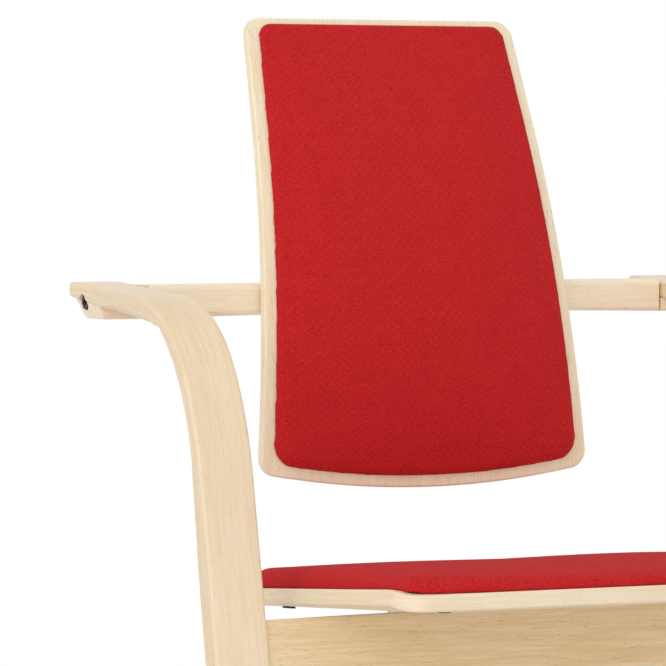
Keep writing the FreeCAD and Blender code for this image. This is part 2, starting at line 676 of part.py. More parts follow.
group("rail_bolts", [frame_bolt("rail_bolt_%s_piece" % side, rail_bolt_point, sign) for side, sign in SIDES])
group("rail_nuts", [barrel_nut("rail_nut_" + side, beside(rail_bolt_point, sign, inner_face - size("nut_depth")),
                               rail_normal) for side, sign in SIDES])
group("rail_dowels", [cylinder("rail_dowel_" + side, "dowel_radius", "dowel_length",
                               beside(dowel_point, sign, inner_face - size("dowel_length") / 2), ACROSS * sign)
                      for side, sign in SIDES])
group("stretcher_bolts", [frame_bolt("stretcher_bolt_%s_%d_piece" % (side, index), point, sign)
                          for side, sign in SIDES for index, point in enumerate(stretcher_bolt_points)])
group("stretcher_nuts", [barrel_nut("stretcher_nut_%s_%d" % (side, index),
                                    beside(point, sign, inner_face - size("nut_depth")), stretcher_up)
                         for side, sign in SIDES for index, point in enumerate(stretcher_bolt_points)])
group("block_screws", [wood_screw("block_screw_%s_%d_piece" % (side, index), point, UP, "block_screw_length")
                       for side, sign in SIDES for index, point in enumerate(block_screw_points(sign))])

glide_turn = 90 + size("leg_lean")
glide_start = leg_face(size("glide_thickness")) + size("foot_bend_radius") * tan(glide_turn / 2)
for side, sign in SIDES:
    glide = doc.addObject("Part::Box", "runner_glide_" + side)
    bind(glide, "Length", "glide_width")
    glide.Width = size("runner_flat_end") - glide_start - 2 * size("glide_margin")
    bind(glide, "Height", "glide_thickness")
    across = sign * (inner_face + outer_face) / 2 - size("glide_width") / 2
    glide.Placement = Placement(Vector(across, glide_start + size("glide_margin"), 0), Rotation())
    keep(glide, "runner_glide_" + side)

# Pivot of the cross bar: screw and sleeve stay with the arm, bush turns with the bar

for side, sign in SIDES:
    keep(cap_screw("pivot_screw_" + side, Vector(sign * pivot_seat, pivot_y, pivot_z), ACROSS * -sign,
                   "bolt_radius", "bolt_head_radius", "bolt_head_height", "bolt_socket",
                   "%s - arm_gap / 2 + pivot_entry" % pivot_seat), "pivot_screw_" + side)
    start = Vector(sign * inner_face, pivot_y, pivot_z)
    sleeve = cylinder("sleeve_blank_" + side, "insert_radius", "insert_length - 1", start, ACROSS * sign)
    thread = cylinder("sleeve_thread_" + side, "bolt_radius + running_gap", "insert_length", start, ACROSS * sign)
    keep(cut("pivot_sleeve_" + side, sleeve, [thread]), "pivot_sleeve_" + side)
    bar_end = inner_face - size("side_gap") - size("bush_flange")
    bush = cylinder("bush_barrel_" + side, "bush_radius", "bush_length",
                    Vector(sign * bar_end, pivot_y, pivot_z), ACROSS * -sign)
    flange = cylinder("bush_flange_" + side, "bush_flange_radius", "bush_flange",
                      Vector(sign * bar_end, pivot_y, pivot_z), ACROSS * sign)
    bore = cylinder("bush_bore_" + side, "bolt_radius + running_gap", "bush_length + 2 * bush_flange",
                    Vector(sign * (bar_end + size("bush_flange")), pivot_y, pivot_z), ACROSS * -sign)
    keep(cut("pivot_bush_" + side, fused("bush_body_" + side, [bush, flange]), [bore]), "pivot_bush_" + side)

group("stop_pins", [cylinder("stop_pin_" + side, "stop_radius", "stop_length",
                             Vector(sign * (inner_face - size("stop_entry")), pivot_y + size("stop_reach"),
                                    pivot_z - size("stop_reach")), ACROSS * sign) for side, sign in SIDES])

# Cross bar

bar_half = inner_face - size("side_gap") - size("bush_flange")
bar_corners = [Vector(way * bar_half, bar_front, z) for way, z in (
    (-1, block_bottom), (-1, bar_top), (1, bar_top), (1, block_bottom))]
bar_edges = [Part.LineSegment(start, end).toShape() for start, end in zip(bar_corners, bar_corners[1:])]
bar_edges.append(Part.Arc(bar_corners[3], Vector(0, bar_front, block_bottom + size("bar_arch")),
                          bar_corners[0]).toShape())
bar_wire = Part.Wire(bar_edges)
bar_blank = extruded(bar_wire, BACKWARD * size("bar_depth"))
bar_blank = bar_blank.makeFillet(size("bar_round"), rim_edges(bar_blank, lambda edge: edge.BoundBox.XLength > bar_half))


def stop_slot(sign):
    """The slot in the bar's end in which the stop pin lies: it runs up the pin's arc by the tilt's limit."""
    radius = math.hypot(size("stop_reach"), size("stop_reach"))
    reach = size("stop_radius") + size("running_gap")
    start, end = -45.0, -45.0 + size("tilt_limit")
    base = sign * (bar_half + 1)

    def spot(distance, angle, onward=0.0):
        y = pivot_y + distance * cos(angle) - onward * sin(angle)
        z = pivot_z + distance * sin(angle) + onward * cos(angle)
        return Vector(base, y, z)

    middle = (start + end) / 2
    wire = Part.Wire([
        Part.Arc(spot(radius + reach, start), spot(radius + reach, middle), spot(radius + reach, end)).toShape(),
        Part.Arc(spot(radius + reach, end), spot(radius, end, reach), spot(radius - reach, end)).toShape(),
        Part.Arc(spot(radius - reach, end), spot(radius - reach, middle), spot(radius - reach, start)).toShape(),
        Part.Arc(spot(radius - reach, start), spot(radius, start, -reach), spot(radius + reach, start)).toShape(),
    ])
    return extruded(wire, ACROSS * (-sign * (size("stop_entry") + 1)))


bar_tools = []
for side, sign in SIDES:
    bar_tools.append(cylinder("bush_hole_" + side, "bush_radius + nut_gap", "bush_length + 1 + nut_gap",
                              Vector(sign * (bar_half + 1), pivot_y, pivot_z), ACROSS * -sign))
    bar_tools.append(shaped("stop_slot_" + side, stop_slot(sign)))

# Seat

seat_fall = tan(size("seat_tilt"))
seat_half = size("seat_width") / 2
over_bracket = (size("bracket_place") - size("bracket_width") / 2) / seat_half
under_fall = (size("seat_rear_dip") - size("seat_front_dip")) / size("seat_depth")
under_fall *= 1 - over_bracket ** size("seat_bow")
under_tilt = math.degrees(math.atan(seat_fall + under_fall))
seat_down = Vector(0, sin(under_tilt), cos(under_tilt)) * -1


def eased(share):
    """A share from 0 to 1 that starts and ends gently."""
    share = min(max(share, 0.0), 1.0)
    return share * share * (3 - 2 * share)


def seat_surface(across, behind, lift):
    """A point above the dished seat: across from the middle, behind its front edge, lift above the shell's top."""
    edge = abs(across / seat_half) ** size("seat_bow")
    rearward = min(max(behind / size("seat_depth"), 0.0), 1.1)
    dip = size("seat_front_dip") + (size("seat_rear_dip") - size("seat_front_dip")) * rearward
    rise = eased(behind / size("seat_dish_start")) * size("seat_side_rise") * edge
    dip *= eased(behind / size("seat_dip_start")) * (1 - edge)
    z = size("seat_height") - behind * seat_fall + rise - dip + lift
    return Vector(across, size("seat_front") + behind, z)


def cushion_top(across, behind, lift):
    """A point above the seat cushion's drawn-in edge, which follows the shell's sides."""
    bend = (size("seat_side_rise") + size("cushion_dip")) * abs(across / seat_half) ** size("cushion_bow")
    dish = eased(behind / size("seat_dish_start")) * (bend - size("cushion_dip"))
    return Vector(across, size("seat_front") + behind, size("seat_height") - behind * seat_fall + dish + lift)


def spread(start, end, count):
    """Evenly spaced values from start to end."""
    return [start + (end - start) * index / (count - 1) for index in range(count)]


def smooth_face(rows):
    """A smooth face through rows of points."""
    surface = Part.BSplineSurface()
    surface.interpolate(rows)
    return surface.toShape()


def seat_face(lift, margin):
    """The dished seat's face, lifted, with a margin outside the shell's outline: closer rows where the dish begins."""
    half = seat_half + margin
    dished = size("seat_dish_start")
    stations = spread(-margin, dished * 1.5, 9) + spread(dished * 1.5, size("seat_depth") + margin, 10)[1:]
    return smooth_face([[seat_surface(across, behind, lift) for across in spread(-half, half, 17)]
                        for behind in stations])


def seat_layer(low, high, margin):
    """A layer that follows the dished seat, between two lifts, larger all round than the outline cut from it."""
    return seat_face(low, margin).extrude(UP * (high - low))


def seat_outline(inset, extra=0.0):
    """The seat's plan, drawn in by inset, as a tall prism."""
    half = seat_half - inset
    front = size("seat_front") + inset
    rear = size("seat_front") + size("seat_depth") - inset
    front_corner = max(size("seat_front_corner") - inset - extra, 1.0)
    rear_corner = max(size("seat_rear_corner") - inset - extra, 1.0)
    wire = rounded_loop([
        (Vector(-half, front, 0), front_corner), (Vector(half, front, 0), front_corner),
        (Vector(half, rear, 0), rear_corner), (Vector(-half, rear, 0), rear_corner),
    ])
    return extruded(wire, UP * size("arm_height"))


def upright(edge):
    box = edge.BoundBox
    return box.ZLength > size("seat_thickness") * 0.8 and box.XLength < 1 and box.YLength < 1


LAYER_MARGIN = 8.0
seat_blank = largest_solid(seat_layer(-size("seat_thickness"), 0.0, LAYER_MARGIN).common(seat_outline(0.0)))
seat_blank = seat_blank.makeFillet(size("shell_round"), rim_edges(seat_blank, lambda edge: not upright(edge)))

pad_inset = size("pad_rim") + size("pad_board_inset")
board_blank = largest_solid(
    seat_layer(size("lay_gap"), size("pad_board_thickness"), 0.0).common(seat_outline(pad_inset, 8.0)))


def bracket_buffer_points(sign):
    """Buffers between a bracket and the shell, given on the shell's underside."""
    rear = bracket_rear()
    return [under_seat(sign * size("bracket_place"), rear - size("buffer_margin") - way * size("buffer_spread"))
            for way in (0, 1)]


def bracket_corner_y():
    return rail_point(0, size("rail_thickness"), size("rail_height")).y


def bracket_rear():
    return bracket_corner_y() + size("bracket_reach") - size("seat_front")


def under_seat(across, behind):
    """A point just under the shell, clear of its dished underside."""
    nearest = abs(across) - size("bracket_width") / 2
    low = seat_surface(nearest, behind, -size("seat_thickness"))
    return Vector(across, low.y, low.z - size("soft_gap"))


def tee_place(point):
    """Top of the tee nut whose bolt starts at a buffer: just below the shell's top."""
    top = seat_surface(point.x, point.y - size("seat_front"), 0)
    return point - seat_down * ((top.z - point.z) * cos(under_tilt) - 1)


def pad_screw_points():
    """Where pad screws come up through the shell, on its underside."""
    spots = []
    for sign in (-1, 1):
        spots.append(seat_surface(sign * size("pad_screw_side"), size("pad_screw_rear"), -size("seat_thickness")))
        spots.append(seat_surface(sign * size("pad_screw_middle"), size("pad_screw_front"), -size("seat_thickness")))
    return spots


def under_normal(point):
    """Straight down from the shell's underside at a point on it."""
    behind = point.y - size("seat_front")
    across = seat_surface(point.x + 1, behind, 0) - seat_surface(point.x - 1, behind, 0)
    along = seat_surface(point.x, behind + 1, 0) - seat_surface(point.x, behind - 1, 0)
    normal = along.cross(across)
    return normal * (1 / normal.Length)


seat_bolt_points = [point for side, sign in SIDES for point in bracket_buffer_points(sign)]
seat_tools = []
board_tools = []
for index, point in enumerate(seat_bolt_points):
    tag = "seat_bolt_%d" % index
    tee_seat = tee_place(point) + seat_down * size("tee_flange")
    seat_tools.append(cylinder(tag + "_flange_seat", "tee_flange_radius + hole_gap", "tee_flange + 6", tee_seat,
                               seat_down * -1))
    seat_tools.append(cylinder(tag + "_barrel_hole", "tee_barrel_radius + nut_gap", "seat_thickness + 6",
                               tee_seat, seat_down))
for index, point in enumerate(pad_screw_points()):
    down = under_normal(point)
    seat_tools.append(cylinder("pad_screw_hole_%d" % index, "screw_radius + nut_gap", "seat_thickness + 12",
                               point + down * 4, down * -1))
    board_tools.append(cylinder("pad_board_hole_%d" % index, "screw_radius + nut_gap", "seat_thickness + 12",
                                point + down * 4, down * -1))
keep(cut("seat_shell", shaped("seat_shell_blank", seat_blank), seat_tools), "seat_shell")
keep(cut("seat_pad_board", shaped("seat_board_blank", board_blank), board_tools), "seat_pad_board")


def pad_screw(name, point):
    down = under_normal(point)
    seat = point + down * (2 * size("lay_gap"))
    head = cylinder(name + "_head", "screw_head_radius + 1.5", "pad_screw_head", seat, down)
    shank = cylinder(name + "_shank", "screw_radius", "pad_screw_length", seat, down * -1)
    return fused(name, [head, shank])


group("pad_screws", [pad_screw("pad_screw_%d" % index, point) for index, point in enumerate(pad_screw_points())])


def tee_nut(name, point):
    top = tee_place(point)
    flange = cylinder(name + "_flange", "tee_flange_radius", "tee_flange", top, seat_down)
    barrel = cylinder(name + "_barrel", "tee_barrel_radius", "tee_barrel_length", top, seat_down)
    thread = cylinder(name + "_thread", "small_bolt_radius + nut_gap", "tee_barrel_length", top, seat_down)
    return cut(name, fused(name + "_body", [flange, barrel]), [thread])


group("seat_tee_nuts", [tee_nut("seat_tee_nut_%d" % index, point) for index, point in enumerate(seat_bolt_points)])


def seat_buffer(name, point):
    blank = cylinder(name + "_blank", "buffer_radius", "buffer_thickness", point, seat_down)
    hole = cylinder(name + "_hole", "small_bolt_radius + hole_gap", "buffer_thickness", point, seat_down)
    return cut(name, blank, [hole])


group("seat_buffers", [seat_buffer("seat_buffer_%d" % index, point) for index, point in enumerate(seat_bolt_points)])


def seat_bolt(name, point):
    under_head = point + seat_down * (size("buffer_thickness") + size("bracket_thickness"))
    return cap_screw(name, under_head, seat_down * -1, "small_bolt_radius", "small_head_radius",
                     "small_head_height", "small_socket", "buffer_thickness + bracket_thickness + seat_thickness - 4")


group("seat_bolts", [seat_bolt("seat_bolt_%d_piece" % index, point) for index, point in enumerate(seat_bolt_points)])


def meeting(first, along_first, second, along_second):
    """Where two lines cross, seen from the side."""
    across = along_first.y * along_second.z - along_first.z * along_second.y
    apart = second - first
    reach = (apart.y * along_second.z - apart.z * along_second.y) / across
    return first + along_first * reach


def bracket_profile():
    """The bent bracket from the side: down the rail's rear face and back under the shell."""
    thick = size("bracket_thickness")
    rail_side = rail_point(0, size("rail_thickness"), size("rail_height"))
    rear_upper = under_seat(size("bracket_place"), bracket_rear()) + seat_down * size("buffer_thickness")
    rear_upper.x = 0
    rear_lower = rear_upper + seat_down * thick
    along = Vector(0, -cos(under_tilt), sin(under_tilt))
    bend = meeting(rail_side, rail_upward, rear_upper, along)
    bend_inside = meeting(rail_side + rail_normal * thick, rail_upward, rear_lower, along)
    foot = rail_side - rail_upward * size("bracket_drop")
    return [
        (foot, 0), (bend, thick * 1.5), (rear_upper, 0),
        (rear_lower, 0), (bend_inside, thick * 0.5), (foot + rail_normal * thick, 0),
    ]


for side, sign in SIDES:
    wire = rounded_loop(bracket_profile())
    wire.translate(ACROSS * (sign * size("bracket_place") - size("bracket_width") / 2))
    bracket = shaped("bracket_" + side, extruded(wire, ACROSS * size("bracket_width")))
    tools = []
    for index, point in enumerate(bracket_buffer_points(sign)):
        tools.append(cylinder("bracket_hole_%s_%d" % (side, index), "small_bolt_radius + hole_gap",
                              "buffer_thickness + bracket_thickness + 2", point, seat_down))
    for index, point in enumerate(bracket_screw_points(sign)):
        tools += wood_screw_tools("bracket_screw_%s_%d" % (side, index), point, rail_normal * -1,
                                  "bracket_screw_length")
    keep(cut("seat_bracket_" + side, bracket, tools), "seat_bracket_" + side)
group("bracket_screws", [wood_screw("bracket_screw_%s_%d_piece" % (side, index), point, rail_normal * -1,
                                    "bracket_screw_length")
                         for side, sign in SIDES for index, point in enumerate(bracket_screw_points(sign))])


def crown_share(along, across):
    """How much of a cushion's crown stands at a place given from -1 to 1 along and across it."""
    return (1 - min(abs(along), 1.0) ** 2.4) * (1 - min(abs(across), 1.0) ** 2.4)


def seat_cushion():
    """The seat cushion on its board: crowned in the middle, with its upper edge drawn in."""
    inset = size("pad_rim")
    half = seat_half - inset
    length = size("seat_depth") - 2 * inset
    rise = size("seat_crown_height") - size("seat_edge_height")
    rows = []
    for behind in spread(inset - 4, size("seat_depth") - inset + 4, 15):
        along = (behind - inset) / length * 2 - 1
        rows.append([
            cushion_top(across, behind, size("seat_edge_height") + rise * crown_share(along, across / half))
            for across in spread(-half - 4, half + 4, 13)
        ])
    body = smooth_face(rows).extrude(UP * -3 * size("seat_edge_height")).common(seat_outline(inset))
    body = body.cut(seat_face(size("lay_gap"), LAYER_MARGIN).extrude(UP * -6 * size("seat_edge_height")))
    solid = largest_solid(body)

    def is_upper(edge):
        behind = edge.CenterOfMass.y - size("seat_front")
        return edge.CenterOfMass.z > cushion_top(edge.CenterOfMass.x, behind, size("seat_edge_height") * 0.7).z

    solid = solid.makeFillet(size("seat_cushion_round"), rim_edges(solid, is_upper))
    hollow = seat_layer(-1.0, size("pad_board_thickness") + size("soft_gap"), 0.0)
    return largest_solid(solid.cut(hollow.common(seat_outline(pad_inset - size("soft_gap"), 8.0))))


keep(shaped("seat_cushion", seat_cushion()), "seat_cushion")

# Back

back_centre = Vector(0, size("back_vertex") + size("back_radius"), size("back_vertex_height"))
back_end = size("back_curve_end")


def back_point(lean, out):
    """A point on the back's curve where it leans by an angle; out is in front of the shell's middle surface."""
    radius = size("back_radius") + out
    return back_centre + Vector(0, -radius * cos(lean), radius * sin(lean))


def back_layer(low, high, extra):
    """A layer that follows the back, between two distances in front of its middle surface, as a wide band."""
    start = -2.0
    straight = Vector(0, sin(back_end), cos(back_end)) * (size("back_top") - size("back_vertex_height"))
    edges = []
    for out in (low, high):
        first, last = back_point(start, out), back_point(back_end, out)
        edges.append(Part.Arc(first, back_point((start + back_end) / 2, out), last).toShape())
        edges.append(Part.LineSegment(last, last + straight).toShape())
    edges.append(Part.LineSegment(back_point(start, low), back_point(start, high)).toShape())
    top_low, top_high = back_point(back_end, low) + straight, back_point(back_end, high) + straight
    edges.append(Part.LineSegment(top_low, top_high).toShape())
    wire = Part.Wire(Part.__sortEdges__(edges))
    half = size("back_width_bottom") / 2 + extra
    wire.translate(ACROSS * -half)
    return extruded(wire, ACROSS * (2 * half))


def back_half_width(height):
    """Half the shell's width at a height."""
    share = (height - size("back_bottom")) / (size("back_top") - size("back_bottom"))
    return (size("back_width_bottom") + (size("back_width_top") - size("back_width_bottom")) * share) / 2


def back_outline(inset, corner, top_inset, top_corner):
    """The back's front view, drawn in by inset, as a deep prism: a bowed lower edge and rounded corners."""
    top = size("back_top") - top_inset
    bottom = size("back_bottom") + inset
    bow = size("back_bottom_radius") - inset
    flank = back_half_width(bottom) - inset
    slope = math.degrees(math.asin((flank - corner * 1.9) / bow))
    low = bottom - bow * (1 / cos(slope) - 1)
    side = low + flank * tan(slope)
    top_half = back_half_width(top) - inset
    side_half = back_half_width(side) - inset
    depth = size("back_vertex") - size("bar_depth") * 3
    wire = rounded_loop([
        (Vector(-top_half, depth, top), top_corner), (Vector(top_half, depth, top), top_corner),
        (Vector(side_half, depth, side), corner), (Vector(0, depth, low), bow),
        (Vector(-side_half, depth, side), corner),
    ])
    return extruded(wire, BACKWARD * (size("arm_end") + size("bar_depth") * 6))


half_shell = size("back_thickness") / 2
back_form = back_outline(0.0, size("back_corner"), 0.0, size("back_corner"))
back_blank = largest_solid(back_layer(-half_shell, half_shell, 5.0).common(back_form))
back_blank = back_blank.makeFillet(size("shell_round"), rim_edges(back_blank, lambda edge: not (
    edge.Length < size("back_thickness") * 1.3 and edge.BoundBox.XLength < 0.5)))


def back_surface(across, height, out):
    """A point at a height in front of the shell's middle surface."""
    radius = size("back_radius") + out
    end_height = radius * sin(back_end)
    above = height - size("back_vertex_height")
    if above > end_height:
        y = -radius * cos(back_end) + (above - end_height) * tan(back_end)
    else:
        y = -math.sqrt(radius ** 2 - above ** 2)
    return Vector(across, back_centre.y + y, height)


def back_lean(height):
    """The back's lean at a height, in degrees."""
    share = (height - size("back_vertex_height")) / size("back_radius")
    return min(math.degrees(math.asin(share)), back_end)


def back_inward(height):
    """The direction through the shell from its front to its rear."""
    lean = back_lean(height)
    return Vector(0, cos(lean), -sin(lean))


def shell_screw_points():
    """Heads of the screws that hold the shell to its spacers, on the shell's front."""
    spread_half = size("shell_screw_spread") / 2
    return [back_surface(sign * size("spacer_place") + way * spread_half, pivot_z, half_shell)
            for side, sign in SIDES for way in (-1, 1)]


def back_pad_screw_points():
    """Where pad screws enter the shell from behind."""
    return [back_surface(sign * size("back_pad_screw_side"), height, -half_shell)
            for side, sign in SIDES for height in (size("back_pad_screw_low"), size("back_pad_screw_high"))]


shell_tools = []
for index, point in enumerate(shell_screw_points()):
    shell_tools += wood_screw_tools("shell_screw_hole_%d" % index, point, back_inward(pivot_z), "shell_screw_length")
back_board_tools = []
for index, point in enumerate(back_pad_screw_points()):
    outward = back_inward(point.z) * -1
    for tag, tools in (("shell", shell_tools), ("board", back_board_tools)):
        tools.append(cylinder("back_pad_%s_hole_%d" % (tag, index), "screw_radius + nut_gap",
                              "back_pad_screw_length + 4", point - outward * 3, outward))
keep(cut("back_shell", shaped("back_shell_blank", back_blank), shell_tools), "back_shell")

board_low, board_high = half_shell + size("lay_gap"), half_shell + size("pad_board_thickness")
back_board_inset = size("back_rim") + size("pad_board_inset")
back_board_top = size("back_top_rim") + size("pad_board_inset")
back_board_corner = size("back_cushion_corner") - size("pad_board_inset")
back_board_top_corner = size("back_cushion_top_corner") - size("pad_board_inset")
board_form = back_outline(back_board_inset, back_board_corner, back_board_top, back_board_top_corner)
back_board = largest_solid(back_layer(board_low, board_high, 0.0).common(board_form))
keep(cut("back_pad_board", shaped("back_board_blank", back_board), back_board_tools), "back_pad_board")


def back_pad_screw(name, point):
    outward = back_inward(point.z) * -1
    head = cylinder(name + "_head", "screw_head_radius + 1.5", "screw_head_height", point, outward * -1)
    shank = cylinder(name + "_shank", "screw_radius", "back_pad_screw_length", point, outward)
    return fused(name, [head, shank])


group("back_pad_screws", [back_pad_screw("back_pad_screw_%d" % index, point + back_inward(point.z) * size("soft_gap"))
                          for index, point in enumerate(back_pad_screw_points())])
group("shell_screws", [wood_screw("shell_screw_%d" % index, point, back_inward(pivot_z), "shell_screw_length")
                       for index, point in enumerate(shell_screw_points())])


def back_cushion():
    """The back cushion on its board: crowned in the middle, with its front edge drawn in."""
    inset = size("back_rim")
    bottom, top = size("back_bottom") + inset, size("back_top") - size("back_top_rim")
    rise = size("back_crown_height") - size("back_edge_height")
    rows = []
    for height in spread(bottom - 5, top + 5, 15):
        along = (height - bottom) / (top - bottom) * 2 - 1
        half = back_half_width(height) - inset
        rows.append([back_surface(across * half, height,
                                  half_shell + size("back_edge_height") + rise * crown_share(along, across))
                     for across in spread(-1.06, 1.06, 13)])
    body = smooth_face(rows).extrude(BACKWARD * 4 * size("back_crown_height"))
    body = body.common(back_outline(inset, size("back_cushion_corner"), size("back_top_rim"),
                                    size("back_cushion_top_corner")))
    body = body.cut(back_layer(half_shell - 8 * size("back_crown_height"), half_shell + size("lay_gap"), 5.0))
    solid = largest_solid(body)

    def is_front(edge):
        middle = edge.CenterOfMass
        return middle.y < back_surface(middle.x, middle.z, half_shell + size("back_edge_height") * 0.7).y

    solid = solid.makeFillet(size("cushion_round"), rim_edges(solid, is_front))
    hollow = back_layer(half_shell - 1, board_high + size("soft_gap"), 0.0)
    gap = size("soft_gap")
    hollow = hollow.common(back_outline(back_board_inset - gap, back_board_corner + gap, back_board_top - gap,
                                        back_board_top_corner + gap))
    return largest_solid(solid.cut(hollow))


keep(shaped("back_cushion", back_cushion()), "back_cushion")

for side, sign in SIDES:
    low = Vector(sign * size("spacer_place") - size("spacer_width") / 2, size("back_vertex"),
                 pivot_z - size("spacer_height") / 2)
    blank = Part.makeBox(size("spacer_width"), bar_front - low.y, size("spacer_height"), low)
    blank = largest_solid(blank.cut(back_layer(-half_shell - size("lay_gap"), half_shell * 12, 5.0)))
    spacer = shaped("spacer_" + side, blank)
    tools = []
    for index, point in enumerate(shell_screw_points()):
        if point.x * sign > 0:
            tools += wood_screw_tools("spacer_screw_%s_%d" % (side, index), point, back_inward(pivot_z),
                                      "shell_screw_length")
    keep(cut("back_spacer_" + side, spacer, tools), "back_spacer_" + side)


for index, point in enumerate(shell_screw_points()):
    bar_tools += wood_screw_tools("bar_screw_%d" % index, point, back_inward(pivot_z), "shell_screw_length")
keep(cut("cross_bar", shaped("bar_blank", bar_blank), bar_tools), "cross_bar")

doc.recompute()

failed = [item.Label for item in doc.Objects if "Invalid" in item.State or "Error" in item.State]
if failed:
    raise RuntimeError("failed objects: %s" % failed)
for item in pieces:
    if item.Shape.isNull() or not item.Shape.isValid():
        raise RuntimeError("bad shape: " + item.Label)

os.makedirs("parts", exist_ok=True)
for item in pieces:
    item.Shape.exportStep("parts/%s.step" % item.Label)
    print(item.Label, len(item.Shape.Solids), round(item.Shape.Volume))
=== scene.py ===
"""Looks of a bent-wood armchair with a padded seat and a padded, tilting back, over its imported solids."""

import json
import math
from collections import namedtuple

import bmesh
import bpy
from bpy.props import FloatProperty, FloatVectorProperty, IntProperty, PointerProperty
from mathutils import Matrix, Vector
from mathutils.kdtree import KDTree


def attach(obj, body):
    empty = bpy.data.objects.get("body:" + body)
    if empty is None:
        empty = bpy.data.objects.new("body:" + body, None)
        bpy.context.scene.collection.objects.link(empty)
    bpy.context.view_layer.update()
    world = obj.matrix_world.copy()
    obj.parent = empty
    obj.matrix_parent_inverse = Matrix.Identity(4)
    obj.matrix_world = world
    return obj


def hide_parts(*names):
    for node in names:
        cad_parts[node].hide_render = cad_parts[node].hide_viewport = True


bl_info = {
    "name": "Bent-wood armchair finishes",
    "version": (1, 0, 0),
    "blender": (4, 5, 0),
    "location": "View3D > Sidebar > Armchair",
    "description": "Gives the packed armchair its veneers, padded fabric cushions, fittings and studio",
    "category": "Object",
}

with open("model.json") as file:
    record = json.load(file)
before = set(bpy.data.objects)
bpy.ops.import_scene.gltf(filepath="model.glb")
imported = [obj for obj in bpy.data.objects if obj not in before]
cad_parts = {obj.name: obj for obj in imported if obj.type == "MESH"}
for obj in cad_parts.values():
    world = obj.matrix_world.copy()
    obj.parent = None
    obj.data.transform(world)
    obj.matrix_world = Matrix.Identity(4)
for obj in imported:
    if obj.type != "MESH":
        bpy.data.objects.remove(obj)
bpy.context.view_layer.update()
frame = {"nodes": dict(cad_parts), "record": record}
slot_of = {row["node"]: row["material_slot"] for row in frame["record"]["subparts"]}


# Kinds of settings

def paint(red, green, blue):
    """A colour as read off a screen, turned into the values that shaders use."""
    return tuple(
        (c / 255 / 12.92) if c <= 10 else ((c / 255 + 0.055) / 1.055) ** 2.4 for c in (red, green, blue)
    )


def tint(name, description, *values):
    """A colour in the values that shaders use."""
    return FloatVectorProperty(name=name, description=description, default=values,
                               size=3, min=0, max=1, subtype="COLOR")


def colour(name, description, red, green, blue):
    """A colour as read off a screen."""
    return tint(name, description, *paint(red, green, blue))


def length(name, description, metres):
    return FloatProperty(name=name, description=description, default=metres, min=0, unit="LENGTH")


def position(name, description, *metres):
    return FloatVectorProperty(name=name, description=description, default=metres, size=3, unit="LENGTH")


def rotation(name, description, degrees):
    return FloatProperty(name=name, description=description, default=math.radians(degrees), unit="ROTATION")


def power(name, description, watts):
    return FloatProperty(name=name, description=description, default=watts, min=0, unit="POWER")


def factor(name, description, share):
    return FloatProperty(name=name, description=description, default=share, min=0, max=1, subtype="FACTOR")


def amount(name, description, value):
    return FloatProperty(name=name, description=description, default=value, min=0)


def rounds(name, description, count):
    return IntProperty(name=name, description=description, default=count, min=0)


class WoodFinish(bpy.types.PropertyGroup):
    """Colours and grain of the chair's veneers and solid wood."""

    strip_pale: colour("Strip", "Lacquered outer veneer of the bent side strips", 237, 219, 190)
    strip_deep: colour("Strip grain", "Streaks in the side strips", 226, 200, 160)
    # The rail and stretcher colours are yellower and deeper than the strips': painted warm shade, for the
    # shade and warm bounce under the seat.
    cross_pale_painted_shade: colour("Rail", "Solid wood of the rail and stretcher", 236, 214, 176)
    cross_deep_painted_shade: colour("Rail grain", "Streaks in the rail and stretcher", 216, 183, 133)
    # The cross bar and arm block colours are paler than the strips': painted light, standing in for light on
    # the shaded parts under the arms.
    bar_pale_painted_light: colour("Cross bar", "Solid wood of the cross bar and the arm blocks", 247, 235, 209)
    bar_deep_painted_light: colour("Cross bar grain", "Streaks in the cross bar and the arm blocks", 238, 218, 183)
    seat_pale: colour("Seat shell", "Face veneer of the seat shell", 240, 225, 198)
    seat_deep: colour("Seat shell grain", "Streaks in the seat shell", 228, 203, 164)
    # The back shell's colours are paler and yellower than the strips': painted light, offsetting the red
    # bounce from the seat and the shade at its lower rim.
    back_pale_painted_light: colour("Back shell", "Face veneer of the back shell", 247, 236, 208)
    back_deep_painted_light: colour("Back shell grain", "Streaks in the back shell", 237, 218, 180)
    fleck: colour("Flecks", "Short dark flecks in all the wood", 178, 144, 98)
    seat_fall: amount("Seat fall", "Fall of the seat's layers towards the rear, in metres to a metre", 0.0752)
    satin: factor("Wood roughness", "Roughness of the sanded wood under its lacquer", 0.42)
    lacquer: factor("Lacquer", "Share of the clear lacquer on the wood", 0.20)


